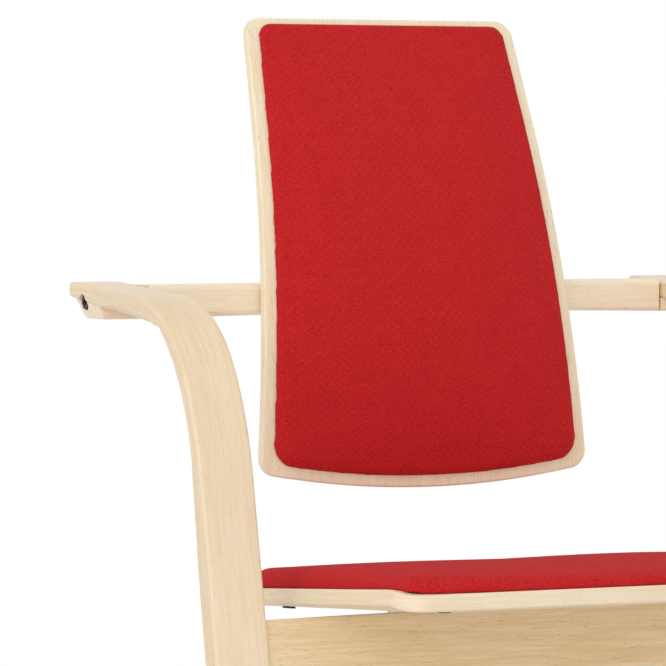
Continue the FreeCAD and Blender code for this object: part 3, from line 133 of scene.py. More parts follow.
class FabricFinish(bpy.types.PropertyGroup):
    """Colour and weave of the cover, and how the cushions are filled."""

    red: colour("Cover", "Raised threads of the woven cover", 214, 44, 45)
    # The darker colour of the hollows is painted shade between the threads.
    shade: colour("Cover gaps", "Hollows between the threads", 156, 15, 21)
    rib_wide: length("Rib width", "Distance between threads across the chair", 0.0021)
    rib_high: length("Rib height", "Distance between threads along the cushion", 0.0018)
    wander: amount("Wander", "How far threads stray across the chair, in radians of their spacing", 9.0)
    stray: amount("Stray", "How far threads stray along the cushion, in radians of their spacing", 8.5)
    relief: length("Relief", "Depth of the weave", 0.00035)
    cloth_mesh: length("Cloth mesh", "Size of the mesh that is blown up from inside", 0.006)
    cover_mesh: length("Cover mesh", "Size of the finished cover's mesh", 0.0025)
    swell: length("Swell", "How far the padding pushes the cover out at most", 0.0012)
    seat_softness: rounds("Seat softness", "Rounds of smoothing on the seat's upper edge", 10)
    back_softness: rounds("Back softness", "Rounds of smoothing on the back's front edge", 8)
    seat_fall_off: length("Seat fall-off", "Drop of the seat's padding at its front edge", 0.0050)
    seat_fall_reach: length("Seat fall-off reach", "How far in from the edge the seat's padding drops", 0.075)
    seat_fall_start: length("Seat fall-off start", "Where the drop sets in, in front of the origin", 0.17)
    seat_fall_blend: length("Seat fall-off blend", "Depth over which the drop becomes full", 0.10)
    back_fall_off: length("Back fall-off", "Drop of the back's padding at its edge", 0.0030)
    back_fall_reach: length("Back fall-off reach", "How far in from the edge the back's padding drops", 0.040)
    tuck: length("Tuck", "How far the seat cover's lower edge is let down onto the shell", 0.0009)
    curl_side: length("Curl place", "Place of the seat cover's raised rear corners from the middle", 0.197)
    curl_low: length("Curl height", "Height of the seat cover's lower edge there", 0.4268)
    curl_reach: length("Curl reach", "How far the raised corners reach", 0.045)
    curl_rise: length("Curl", "How far the corners are raised", 0.004)
    pressure: amount("Pressure", "Push of the padding on the cover", 4.0)
    steps: IntProperty(name="Steps", description="Frames over which the cover settles", default=20, min=2)


class FittingFinish(bpy.types.PropertyGroup):
    """Colours of the metal, rubber, plastic and board."""

    dark_steel: tint("Dark steel", "All screws and bolts", 0.085, 0.075, 0.088)
    bright_steel: tint("Bright steel", "Plated brackets, nuts, pivot sleeves and stop pins", 0.62, 0.62, 0.64)
    rubber: tint("Rubber", "Seat buffers and runner glides", 0.022, 0.022, 0.022)
    bush: tint("Bushes", "Moulded bushes of the pivots", 0.62, 0.59, 0.52)
    # The boards are the cushions' base boards; their black is also painted shade, standing in for the dark
    # gap under the seat cover's raised rear corners.
    board: tint("Boards", "Black boards under the cushions", 0.012, 0.012, 0.013)


class StudioSetup(bpy.types.PropertyGroup):
    """Camera, lamps and floor."""

    eye: position("Camera", "Place of the camera", -1.9944, -3.8330, 0.7995)
    pitch: rotation("Pitch", "Fall of the camera's view below the horizon", 2.033)
    turn: rotation("Turn", "Turn of the camera's view from straight backward", 25.972)
    lens: FloatProperty(name="Lens", description="Focal length for the sensor's width", default=262.34,
                        unit="CAMERA")
    sensor: FloatProperty(name="Sensor", description="Width of the sensor", default=36.0, unit="CAMERA")
    floor: colour("Floor", "Pale studio floor", 240, 239, 243)
    floor_reach: length("Floor reach", "Radius of the studio floor", 3.2)
    floor_drop: length("Floor drop", "How far the studio floor lies below the glides", 0.0005)
    aim: position("Aim", "Point that the lamps face", 0.0, 0.0, 0.6)
    key_place: position("Key place", "Place of the large lamp at the upper left", -3.4, -1.6, 2.6)
    key_span: length("Key span", "Width of the large lamp", 2.6)
    key_tint: tint("Key tint", "Colour of the large lamp", 1.0, 0.97, 0.93)
    key_power: power("Key light", "Power of the large lamp", 34.0)
    fill_place: position("Fill place", "Place of the lamp beside the camera", -1.6, -4.0, 0.7)
    fill_span: length("Fill span", "Width of the lamp beside the camera", 2.4)
    fill_tint: tint("Fill tint", "Colour of the lamp beside the camera", 1.0, 0.98, 1.0)
    fill_power: power("Fill light", "Power of the lamp beside the camera", 33.0)
    sky_high: amount("Sky", "Strength of the light from straight above", 0.90)
    sky_low: amount("Horizon", "Strength of the light from the horizon", 0.66)


class Recipe:
    """One material's nodes, joined up in a few words."""

    def __init__(self, name):
        self.material = bpy.data.materials.new(name)
        self.material.use_nodes = True
        self.tree = self.material.node_tree
        self.shader = self.tree.nodes["Principled BSDF"]

    def feed(self, socket, value):
        if isinstance(value, bpy.types.NodeSocket):
            self.tree.links.new(value, socket)
        else:
            socket.default_value = value

    def finish(self, **values):
        """Set sockets of the shader: names use _ for a space."""
        for name, value in values.items():
            self.feed(self.shader.inputs[name.replace("_", " ")], value)
        return self.material

    def math(self, operation, *values):
        node = self.tree.nodes.new("ShaderNodeMath")
        node.operation = operation
        for socket, value in zip(node.inputs, values):
            self.feed(socket, value)
        return node.outputs[0]

    def total(self, *terms):
        """Sum of (value, factor) pairs."""
        result = 0.0
        for value, times in terms:
            result = self.math("MULTIPLY_ADD", value, times, result)
        return result

    def distance(self, first, second):
        """Length of a line from its two legs at a right angle."""
        squares = [(self.math("MULTIPLY", leg, leg), 1.0) for leg in (first, second)]
        return self.math("SQRT", self.total(*squares))

    def vary(self, noise, middle, spread):
        """A value that noise moves about its middle."""
        return self.math("MULTIPLY_ADD", noise, spread, middle - spread / 2)

    def vector(self, x, y, z):
        node = self.tree.nodes.new("ShaderNodeCombineXYZ")
        for socket, value in zip(node.inputs, (x, y, z)):
            self.feed(socket, value)
        return node.outputs[0]

    def scaled(self, values, scales):
        """A vector of values, each times its own scale."""
        return self.vector(*(self.math("MULTIPLY", value, scale) for value, scale in zip(values, scales)))

    def split(self, vector):
        node = self.tree.nodes.new("ShaderNodeSeparateXYZ")
        self.feed(node.inputs[0], vector)
        return node.outputs[0], node.outputs[1], node.outputs[2]

    def place(self):
        """Where a point is, in the chair's own frame."""
        return self.split(self.tree.nodes.new("ShaderNodeTexCoord").outputs["Object"])

    def facing(self):
        """Which way the surface faces, in the chair's own frame."""
        return self.split(self.tree.nodes.new("ShaderNodeTexCoord").outputs["Normal"])

    def noise(self, vector, detail, roughness=0.5):
        node = self.tree.nodes.new("ShaderNodeTexNoise")
        self.feed(node.inputs["Vector"], vector)
        self.feed(node.inputs["Scale"], 1.0)
        self.feed(node.inputs["Detail"], detail)
        self.feed(node.inputs["Roughness"], roughness)
        return node.outputs["Fac"]

    def ramp(self, value, low, high):
        """A smooth rise from 0 at low to 1 at high."""
        node = self.tree.nodes.new("ShaderNodeMapRange")
        node.interpolation_type = "SMOOTHSTEP"
        self.feed(node.inputs["Value"], value)
        self.feed(node.inputs["From Min"], low)
        self.feed(node.inputs["From Max"], high)
        return node.outputs["Result"]

    def mix(self, share, first, second):
        """One colour passing into another; the colour sockets go by number, because their names repeat."""
        node = self.tree.nodes.new("ShaderNodeMix")
        node.data_type = "RGBA"
        self.feed(node.inputs[0], share)
        for index, value in ((6, first), (7, second)):
            linked = isinstance(value, bpy.types.NodeSocket)
            self.feed(node.inputs[index], value if linked else (*value, 1.0))
        return node.outputs[2]

    def bump(self, height, depth, strength):
        node = self.tree.nodes.new("ShaderNodeBump")
        self.feed(node.inputs["Height"], height)
        self.feed(node.inputs["Distance"], depth)
        self.feed(node.inputs["Strength"], strength)
        self.feed(self.shader.inputs["Normal"], node.outputs["Normal"])


# The course of bent pieces, seen from the side: y backward, z up

def turned(arrow, turn):
    """A flat vector turned to the left, in radians."""
    cosine, sine = math.cos(turn), math.sin(turn)
    return Vector((arrow.x * cosine - arrow.y * sine, arrow.x * sine + arrow.y * cosine))


class Straight:
    """A straight stretch of a bent piece."""

    def __init__(self, begin, heading, done, reach):
        self.begin, self.heading, self.done, self.reach = begin, heading, done, reach
        self.end, self.out = begin + heading * reach, heading

    def grain(self, recipe, y, z):
        """Distance along the piece and distance to the left of the stretch."""
        back, up = self.heading
        along = recipe.total((y, back), (z, up), (1.0, self.done - self.begin.dot(self.heading)))
        across = recipe.total((y, -up), (z, back), (1.0, self.begin.x * up - self.begin.y * back))
        return along, across


class Bend:
    """A round stretch of a bent piece, to the left if its angle in degrees is positive."""

    def __init__(self, begin, heading, done, radius, angle):
        turn = math.radians(angle)
        self.done, self.radius, self.reach = done, radius, radius * abs(turn)
        self.side = math.copysign(1, angle)
        self.centre = begin + Vector((-heading.y, heading.x)) * radius * self.side
        spoke = begin - self.centre
        self.first = math.atan2(spoke.y, spoke.x)
        self.end, self.out = self.centre + turned(spoke, turn), turned(heading, turn)

    def grain(self, recipe, y, z):
        """Distance along the piece and distance to the left of the stretch."""
        back = recipe.math("SUBTRACT", y, self.centre.x)
        up = recipe.math("SUBTRACT", z, self.centre.y)
        angle = recipe.math("SUBTRACT", recipe.math("ARCTAN2", up, back), self.first)
        angle = recipe.math("WRAP", angle, math.pi, -math.pi)
        along = recipe.math("MULTIPLY_ADD", angle, self.radius * self.side, self.done)
        across = recipe.math("MULTIPLY_ADD", recipe.distance(back, up), -self.side, self.radius * self.side)
        return along, across


def course(begin, lean, *stretches):
    """Stretches from a point and a first heading in degrees: (reach,) is straight, (radius, angle) turns."""
    runs, done = [], 0.0
    begin = Vector(begin)
    heading = Vector((math.cos(math.radians(lean)), math.sin(math.radians(lean))))
    for stretch in stretches:
        kind = Straight if len(stretch) == 1 else Bend
        run = kind(begin, heading, done, *stretch)
        runs.append(run)
        begin, heading, done = run.end, run.out, done + run.reach
    return runs


STRIP_COURSE = course(
    (0.1615, 0.6916), 183.7,  # rear end of the arm, heading forward
    (0.1471,),  # arm
    (0.130, 52.8),  # tight part of the front bend
    (0.254, 21.7),  # wide part of the front bend
    (0.4152,),  # leg
    (0.105, 101.8),  # bend from leg to runner
    (0.1792,),  # flat of the runner
    (0.900, 16.2),  # rocking curve behind the flat
)
FOOT_HEIGHT = 0.25  # the bend to the runner and the runner lie below it, the arm above it
BACK_COURSE = course(
    (0.0728, 0.4990), 90.0,  # lower edge of the back, heading up
    (0.943, -20.5),  # curved lower part
    (0.3,),  # straight upper part
)


# Grain: each gives the distances along the fibres, across them and through the layers

def bent_grain(runs, low=0.0):
    """Grain that follows a bent piece; the stretches that start below the height low hold only there."""

    def grain(recipe):
        x, y, z = recipe.place()
        along, across = runs[0].grain(recipe, y, z)
        under = recipe.math("LESS_THAN", z, low)
        for before, run in zip(runs, runs[1:]):
            passed = recipe.total((y, before.out.x), (z, before.out.y), (1.0, -before.end.dot(before.out)))
            passed = recipe.math("GREATER_THAN", passed, 0.0)
            if before.end.y < low:
                passed = recipe.math("MULTIPLY", passed, under)
            next_along, next_across = run.grain(recipe, y, z)
            along = recipe.math("MULTIPLY_ADD", passed, recipe.math("SUBTRACT", next_along, along), along)
            across = recipe.math("MULTIPLY_ADD", passed, recipe.math("SUBTRACT", next_across, across), across)
        return along, across, x

    return grain


def sideways_grain(recipe):
    """Grain from one side of the chair to the other."""
    return recipe.place()


def edge_grain(fall):
    """Grain of the seat shell: front to back on its faces, and along the layers on its edges."""
    edge_end, face_start = 0.60, 0.75

    def grain(recipe):
        x, y, z = recipe.place()
        flat = recipe.ramp(recipe.math("ABSOLUTE", recipe.facing()[2]), edge_end, face_start)
        layer = recipe.total((z, 1.0), (y, fall))
        edge = recipe.math("SUBTRACT", x, y)
        along = recipe.math("MULTIPLY_ADD", flat, recipe.math("SUBTRACT", y, edge), edge)
        across = recipe.math("MULTIPLY_ADD", flat, recipe.math("SUBTRACT", x, layer), layer)
        return along, across, 0.0

    return grain


# Marks in wood: reach along the grain and width across it in metres, detail of the noise that places them,
# the noise at which they start and are full, and how much they count
Mark = namedtuple("Mark", "reach width detail start full share")
STREAKS = Mark(0.055, 0.0026, 3.0, 0.34, 0.68, 0.48)
FIBRES = Mark(0.016, 0.0008, 2.0, 0.30, 0.70, 0.22)
BANDS = Mark(0.30, 0.022, 2.0, 0.30, 0.70, 0.34)
FLECKS = Mark(0.0085, 0.0011, 1.5, 0.60, 0.76, 0.34)
MARK_ROUGHNESS = 0.55


def wood(name, pale, deep, grain, contrast=1.0, flecked=FLECKS.share):
    """Lacquered wood: long streaks, fine fibres and short flecks that follow the grain."""
    settings = bpy.context.scene.armchair_wood
    recipe = Recipe(name)
    distances = grain(recipe)

    def spread(mark):
        spans = (mark.reach, mark.width, mark.width)
        spots = recipe.vector(*(recipe.math("DIVIDE", value, span) for value, span in zip(distances, spans)))
        return recipe.ramp(recipe.noise(spots, mark.detail, MARK_ROUGHNESS), mark.start, mark.full)

    streaks, fibres, bands, flecks = [spread(mark) for mark in (STREAKS, FIBRES, BANDS, FLECKS)]
    depth = recipe.total((streaks, STREAKS.share * contrast), (fibres, FIBRES.share * contrast),
                         (bands, BANDS.share * contrast))
    shade = recipe.mix(depth, pale, deep)
    shade = recipe.mix(recipe.math("MULTIPLY", flecks, flecked), shade, settings.fleck)
    rough = recipe.math("MULTIPLY_ADD", streaks, 0.10, settings.satin)
    height = recipe.total((fibres, 0.5), (flecks, -1.0), (streaks, -0.3))
    recipe.bump(height, depth=0.00012, strength=0.4)
    return recipe.finish(Base_Color=shade, Roughness=rough, Specular_IOR_Level=0.25,
                         Coat_Weight=settings.lacquer, Coat_Roughness=0.14, Coat_IOR=1.5)


MOTTLE = (0.3, 0.7)  # noise at which a mottled tone starts and is full


def woven(name):
    """The red cover: a small irregular weave with a soft, matt face."""
    settings = bpy.context.scene.armchair_fabric
    recipe = Recipe(name)
    chart = recipe.tree.nodes.new("ShaderNodeUVMap")
    chart.uv_map = "weave"
    u, v, _ = recipe.split(chart.outputs["UV"])

    def spots(across_count, along_count, layer, detail):
        """Noise with about so many spots to a metre."""
        place = (recipe.math("MULTIPLY", u, across_count), recipe.math("MULTIPLY", v, along_count), layer)
        return recipe.noise(recipe.vector(*place), detail)

    def crossing(thread, other, least):
        """Height of a thread, which dips where the other one isn't under it."""
        return recipe.math("MULTIPLY", thread, recipe.total((other, 0.55), (1.0, least)))

    across = recipe.total((u, math.pi / settings.rib_wide), (spots(420, 300, 0.0, 2.0), settings.wander))
    along = recipe.total((v, math.pi / settings.rib_high), (spots(330, 460, 7.0, 3.0), settings.stray))
    warp, weft = [recipe.math("ABSOLUTE", recipe.math("SINE", way)) for way in (across, along)]
    turns = [recipe.math("SINE", recipe.math("MULTIPLY", way, 0.5)) for way in (across, along)]
    over = recipe.math("GREATER_THAN", recipe.math("MULTIPLY", *turns), 0.0)
    weft_height = crossing(weft, warp, 0.45)
    warp_height = crossing(warp, weft, 0.25)
    height = recipe.math("MULTIPLY_ADD", over, recipe.math("SUBTRACT", warp_height, weft_height), weft_height)
    fuzz = spots(2600, 2600, 3.0, 2.0)
    cloud = recipe.ramp(spots(40, 40, 1.0, 3.0), *MOTTLE)
    # Tone follows the weave's height, so the hollows are painted darker: painted shade between the threads,
    # on top of the bump.
    tone = recipe.total((height, 0.54), (fuzz, 0.44), (cloud, 0.05), (1.0, 0.08))
    shade = recipe.mix(recipe.ramp(tone, 0.0, 1.0), settings.shade, settings.red)
    recipe.bump(recipe.total((height, 1.0), (fuzz, 0.35)), settings.relief, strength=0.8)
    return recipe.finish(Base_Color=shade, Roughness=0.92, Specular_IOR_Level=0.12, Sheen_Weight=0.05,
                         Sheen_Roughness=0.45, Sheen_Tint=(1.0, 0.62, 0.60, 1.0))


def metal(name, tone, roughness):
    """Turned or plated steel with fine scratches across the chair."""
    scratches, specks = (420, 2600, 2600), (1500, 1500, 1500)
    recipe = Recipe(name)
    place = recipe.place()
    scratch = recipe.noise(recipe.scaled(place, scratches), 3.0)
    speck = recipe.noise(recipe.scaled(place, specks), 2.0)
    worn = [value * 0.72 for value in tone]
    shade = recipe.mix(recipe.ramp(scratch, *MOTTLE), worn, tone)
    recipe.bump(scratch, depth=0.00006, strength=0.5)
    return recipe.finish(Base_Color=shade, Roughness=recipe.vary(speck, roughness, 0.22), Metallic=1.0,
                         Specular_IOR_Level=0.45)


def moulded(name, tone, roughness, pitted):
    """Rubber, moulded plastic or painted board with so many fine pits to a metre."""
    patches = 55
    recipe = Recipe(name)
    place = recipe.place()
    pits = recipe.noise(recipe.scaled(place, (pitted, pitted, pitted)), 3.0)
    wear = recipe.noise(recipe.scaled(place, (patches, patches, patches)), 3.0)
    worn = [min(value * 1.35 + 0.004, 1.0) for value in tone]
    shade = recipe.mix(recipe.ramp(wear, *MOTTLE), tone, worn)
    recipe.bump(pits, depth=0.00015, strength=0.6)
    return recipe.finish(Base_Color=shade, Roughness=recipe.vary(pits, roughness, 0.16),
                         Specular_IOR_Level=0.3)


def dress_solid(solid, material):
    solid.data.materials.clear()
    solid.data.materials.append(material)


def dress(slot, material):
    """Give a finish to every solid whose slot has that name."""
    found = [frame["nodes"][node] for node, name in slot_of.items() if name == slot]
    if not found:
        raise RuntimeError("no solid takes the finish " + slot)
    for solid in found:
        dress_solid(solid, material)


# Cushions: outward is the way that a cushion's padded face looks. A facing is the share of a point's normal
# that looks outward, so 1 is the padded face, 0 a flank and -1 the base

SEAT_OUTWARD = Vector((0.0, 0.0, 1.0))
BACK_OUTWARD = Vector((0.0, -1.0, 0.0))
SOFT_FACING = 0.1
FLANK_FACING = 0.35
HELD_FACING = -0.3
BASE_FACING = -0.7
TUCK_FACING = (-0.85, -0.25)
BLANK_ROUNDS = 3  # smoothing of an even mesh before it is drawn onto its solid
HUG_ROUNDS = 2  # smoothing after that
PUSH_ROUNDS = 8  # evening of the padding's push
NEAR_POINTS = 4  # points of the cloth that move one point of the cover
NEAR_EASING = 0.001  # metres added to their distances


def within(value):
    """A value kept between 0 and 1."""
    return min(max(value, 0.0), 1.0)


def settled(piece):
    """The piece's mesh with its modifiers applied, as plain data."""
    bpy.context.view_layer.update()
    mesh = bpy.data.meshes.new_from_object(piece.evaluated_get(bpy.context.evaluated_depsgraph_get()))
    piece.modifiers.clear()
    piece.data = mesh
    return mesh


def relax(mesh, count, outward=None):
    """Smooth a mesh for a count of rounds, or with outward only where it faces that way."""
    work = bmesh.new()
    work.from_mesh(mesh)
    chosen = [vert for vert in work.verts if outward is None or vert.normal.dot(outward) > SOFT_FACING]
    for _ in range(count):
        bmesh.ops.smooth_vert(work, verts=chosen, factor=0.5,
                              use_axis_x=True, use_axis_y=True, use_axis_z=True)
    work.to_mesh(mesh)
    work.free()


def cover_blank(name, node, voxel):
    """A cushion's form as an even mesh that hugs its solid."""
    solid = frame["nodes"][node]
    mesh = solid.data.copy()
    work = bmesh.new()
    work.from_mesh(mesh)
    bmesh.ops.remove_doubles(work, verts=work.verts, dist=0.0001)
    work.to_mesh(mesh)
    work.free()
    piece = bpy.data.objects.new(name, mesh)
    bpy.context.scene.collection.objects.link(piece)
    even = piece.modifiers.new("even", "REMESH")
    even.mode = "VOXEL"
    even.voxel_size = voxel
    relax(settled(piece), BLANK_ROUNDS)
    hug = piece.modifiers.new("hug", "SHRINKWRAP")
    hug.target = solid
    hug.wrap_method = "NEAREST_SURFACEPOINT"
    relax(settled(piece), HUG_ROUNDS)
    return piece


def evened(moves, pairs):
    """Each move averaged with those of the points that it is paired with, a few times over."""
    for _ in range(PUSH_ROUNDS):
        sums = [move.copy() for move in moves]
        counts = [1] * len(moves)
        for first, second in pairs:
            sums[first] += moves[second]
            sums[second] += moves[first]
            counts[first] += 1
            counts[second] += 1
        moves = [total / count for total, count in zip(sums, counts)]
    return moves


def padding_push(node, outward):
    """How padding pushes a cover out, from a cloth blown up from inside: points and their evened moves."""
    settings = bpy.context.scene.armchair_fabric
    cloth_piece = cover_blank(node + "_cloth", node, settings.cloth_mesh)
    vertices = cloth_piece.data.vertices
    rest = [vertex.co.copy() for vertex in vertices]
    held = [vertex.index for vertex in vertices if vertex.normal.dot(outward) < HELD_FACING]
    cloth_piece.vertex_groups.new(name="held").add(held, 1.0, "REPLACE")
    cloth = cloth_piece.modifiers.new("swell", "CLOTH")
    cloth.settings.use_pressure = True
    cloth.settings.uniform_pressure_force = settings.pressure
    cloth.settings.vertex_group_mass = "held"
    cloth.settings.effector_weights.gravity = 0
    cloth.settings.quality = 5
    cloth.collision_settings.use_collision = False
    cloth.point_cache.frame_start, cloth.point_cache.frame_end = 1, settings.steps
    for step in range(1, settings.steps + 1):
        bpy.context.scene.frame_set(step)
    mesh = settled(cloth_piece)
    moves = [vertex.co - start for vertex, start in zip(mesh.vertices, rest)]
    moves = evened(moves, [tuple(edge.vertices) for edge in mesh.edges])
    bpy.context.scene.frame_set(1)
    bpy.data.objects.remove(cloth_piece)
    return rest, moves


def lookup(points):
    """A tree that finds the nearest of some points."""
    tree = KDTree(len(points))
    for index, point in enumerate(points):
        tree.insert(point, index)
    tree.balance()
    return tree


def swell(piece, node, outward):
    """Move a cover as its padding pushes it, scaled so that it stays close to its solid."""
    settings = bpy.context.scene.armchair_fabric
    rest, moves = padding_push(node, outward)
    scale = settings.swell / max(move.length for move in moves)
    tree = lookup(rest)
    for vertex in piece.data.vertices:
        found = tree.find_n(vertex.co, NEAR_POINTS)
        near = [(moves[index], 1.0 / (NEAR_EASING + far)) for _, index, far in found]
        push = sum((move * weight for move, weight in near), Vector()) / sum(weight for _, weight in near)
        vertex.co += push * scale


def pillow(piece, outward, drop, reach, share):
    """Let the padding drop towards the cover's edge, where it is high enough; share scales it at a point."""
    vertices = piece.data.vertices
    base = lookup([vertex.co for vertex in vertices if vertex.normal.dot(outward) < BASE_FACING])
    flank = lookup([vertex.co for vertex in vertices if abs(vertex.normal.dot(outward)) < FLANK_FACING])
    full_height = 2.0 * drop
    moves = []
    for vertex in vertices:
        near = max(1.0 - flank.find(vertex.co)[2] / reach, 0.0)
        high = within((vertex.co - base.find(vertex.co)[0]).dot(outward) / full_height)
        moves.append(outward * (drop * near * near * high * share(vertex.co)))
    for vertex, move in zip(vertices, moves):
        vertex.co -= move


def shape_seat(piece):
    """Round the seat's front, let its lower edge down, and draw it up at the two round rear corners."""
    settings = bpy.context.scene.armchair_fabric
    slope = bpy.context.scene.armchair_wood.seat_fall
    curl_height = settings.curl_reach / 3.0

    def forward(point):
        return within(-(point.y + settings.seat_fall_start) / settings.seat_fall_blend)

    pillow(piece, SEAT_OUTWARD, settings.seat_fall_off, settings.seat_fall_reach, forward)
    relax(piece.data, settings.seat_softness, SEAT_OUTWARD)
    for vertex in piece.data.vertices:
        if TUCK_FACING[0] < vertex.normal.z < TUCK_FACING[1]:
            vertex.co.z -= settings.tuck
    # The raised rear corners bare the black board beneath, which stands in for the shadow gap there.
    for vertex in piece.data.vertices:
        x, y, z = vertex.co
        low = settings.curl_low - y * slope
        near = max(1.0 - math.hypot(abs(x) - settings.curl_side, y) / settings.curl_reach, 0.0)
        deep = within(1.0 - (z - low) / curl_height)
        vertex.co.z += settings.curl_rise * near * deep


def shape_back(piece):
    """Round the back's front edge."""
    settings = bpy.context.scene.armchair_fabric
    pillow(piece, BACK_OUTWARD, settings.back_fall_off, settings.back_fall_reach, lambda point: 1.0)
    relax(piece.data, settings.back_softness, BACK_OUTWARD)


def chart_weave(piece):
    """Lay the weave on the cushion: the threads run straight on each face, as on a cut and folded cover."""
    mesh = piece.data
    chart = mesh.uv_layers.new(name="weave")
    for face in mesh.polygons:
        widest = max(range(3), key=lambda axis: abs(face.normal[axis]))
        first, second = [axis for axis in range(3) if axis != widest]
        for corner in face.loop_indices:
            point = mesh.vertices[mesh.loops[corner].vertex_index].co
            chart.data[corner].uv = (point[first], point[second])


def cushion(name, node, body, outward, shape):
    """A padded cushion in place of its solid."""
    settings = bpy.context.scene.armchair_fabric
    piece = cover_blank(name, node, settings.cover_mesh)
    swell(piece, node, outward)
    shape(piece)
    for face in piece.data.polygons:
        face.use_smooth = True
    chart_weave(piece)
    dress_solid(piece, woven(name))
    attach(piece, body)
    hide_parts(node)


class ARMCHAIR_OT_side_strips(bpy.types.Operator):
    """Bent laminated wood for the side strips, and solid wood for their arm blocks"""

    bl_idname = "armchair.side_strips"
    bl_label = "Side strips"

    def execute(self, context):
        settings = context.scene.armchair_wood
        dress("strip_wood", wood("bent_strip_wood", settings.strip_pale, settings.strip_deep,
                                 bent_grain(STRIP_COURSE, FOOT_HEIGHT), contrast=0.9))
        # The arm blocks take the paler bar colours: painted light under the arms.
        dress("block_wood", wood("arm_block_wood", settings.bar_pale_painted_light, settings.bar_deep_painted_light,
                                 sideways_grain, contrast=0.9))
        return {"FINISHED"}


class ARMCHAIR_OT_cross_members(bpy.types.Operator):
    """Solid wood for the seat rail, rear stretcher, cross bar, back spacers and dowels"""

    bl_idname = "armchair.cross_members"
    bl_label = "Rail, stretcher and cross bar"

    def execute(self, context):
        settings = context.scene.armchair_wood
        # The rail wood's colours carry painted warm shade from under the seat.
        dress("cross_wood", wood("rail_wood", settings.cross_pale_painted_shade, settings.cross_deep_painted_shade,
                                 sideways_grain, contrast=0.85, flecked=0.5))
        # The cross bar takes the same paler colours: painted light.
        dress_solid(frame["nodes"]["cross_bar"], wood("cross_bar_wood", settings.bar_pale_painted_light, settings.bar_deep_painted_light,
                                                      sideways_grain, contrast=0.9))
        return {"FINISHED"}


class ARMCHAIR_OT_shells(bpy.types.Operator):
    """Pressed veneer for the seat and back shells"""

    bl_idname = "armchair.shells"
    bl_label = "Seat and back shells"

    def execute(self, context):
        settings = context.scene.armchair_wood
        dress("seat_wood", wood("seat_veneer", settings.seat_pale, settings.seat_deep,
                                edge_grain(settings.seat_fall), contrast=0.8))
        # The back veneer's colours carry painted light at its lower rim.
        dress("back_wood", wood("back_veneer", settings.back_pale_painted_light, settings.back_deep_painted_light,
                                bent_grain(BACK_COURSE)))
        return {"FINISHED"}


class ARMCHAIR_OT_fittings(bpy.types.Operator):
    """Screws, brackets, bushes, buffers, glides and the black boards under the cushions"""

    bl_idname = "armchair.fittings"
    bl_label = "Fittings"

    def execute(self, context):
        settings = context.scene.armchair_fittings
        dress("dark_steel", metal("dark_steel", settings.dark_steel, roughness=0.50))
        dress("bright_steel", metal("bright_steel", settings.bright_steel, roughness=0.30))
        dress("rubber", moulded("buffer_rubber", settings.rubber, roughness=0.80, pitted=900))
        dress("bush_plastic", moulded("bush_plastic", settings.bush, roughness=0.45, pitted=1400))
        # The boards' black is partly painted shade, for the gap under the seat cover's rear corners.
        dress("black_board", moulded("pad_board_black", settings.board, roughness=0.70, pitted=1600))
        return {"FINISHED"}


class ARMCHAIR_OT_seat_cushion(bpy.types.Operator):
    """The padded seat cushion"""

    bl_idname = "armchair.seat_cushion"
    bl_label = "Seat cushion"

    def execute(self, context):
        cushion("seat_cushion_cover", "seat_cushion", "frame", SEAT_OUTWARD, shape_seat)
        return {"FINISHED"}


class ARMCHAIR_OT_back_cushion(bpy.types.Operator):
    """The padded back cushion"""

    bl_idname = "armchair.back_cushion"
    bl_label = "Back cushion"

    def execute(self, context):
        cushion("back_cushion_cover", "back_cushion", "backrest", BACK_OUTWARD, shape_back)
        return {"FINISHED"}


def bright_rays(tree):
    """1 for rays that see the background: straight from the camera, in a mirror or through glass."""
    path = tree.nodes.new("ShaderNodeLightPath")
    seen = path.outputs["Is Camera Ray"]
    for ray in ("Is Glossy Ray", "Is Transmission Ray"):
        either = tree.nodes.new("ShaderNodeMath")
        either.operation = "MAXIMUM"
        tree.links.new(seen, either.inputs[0])
        tree.links.new(path.outputs[ray], either.inputs[1])
        seen = either.outputs[0]
    return seen


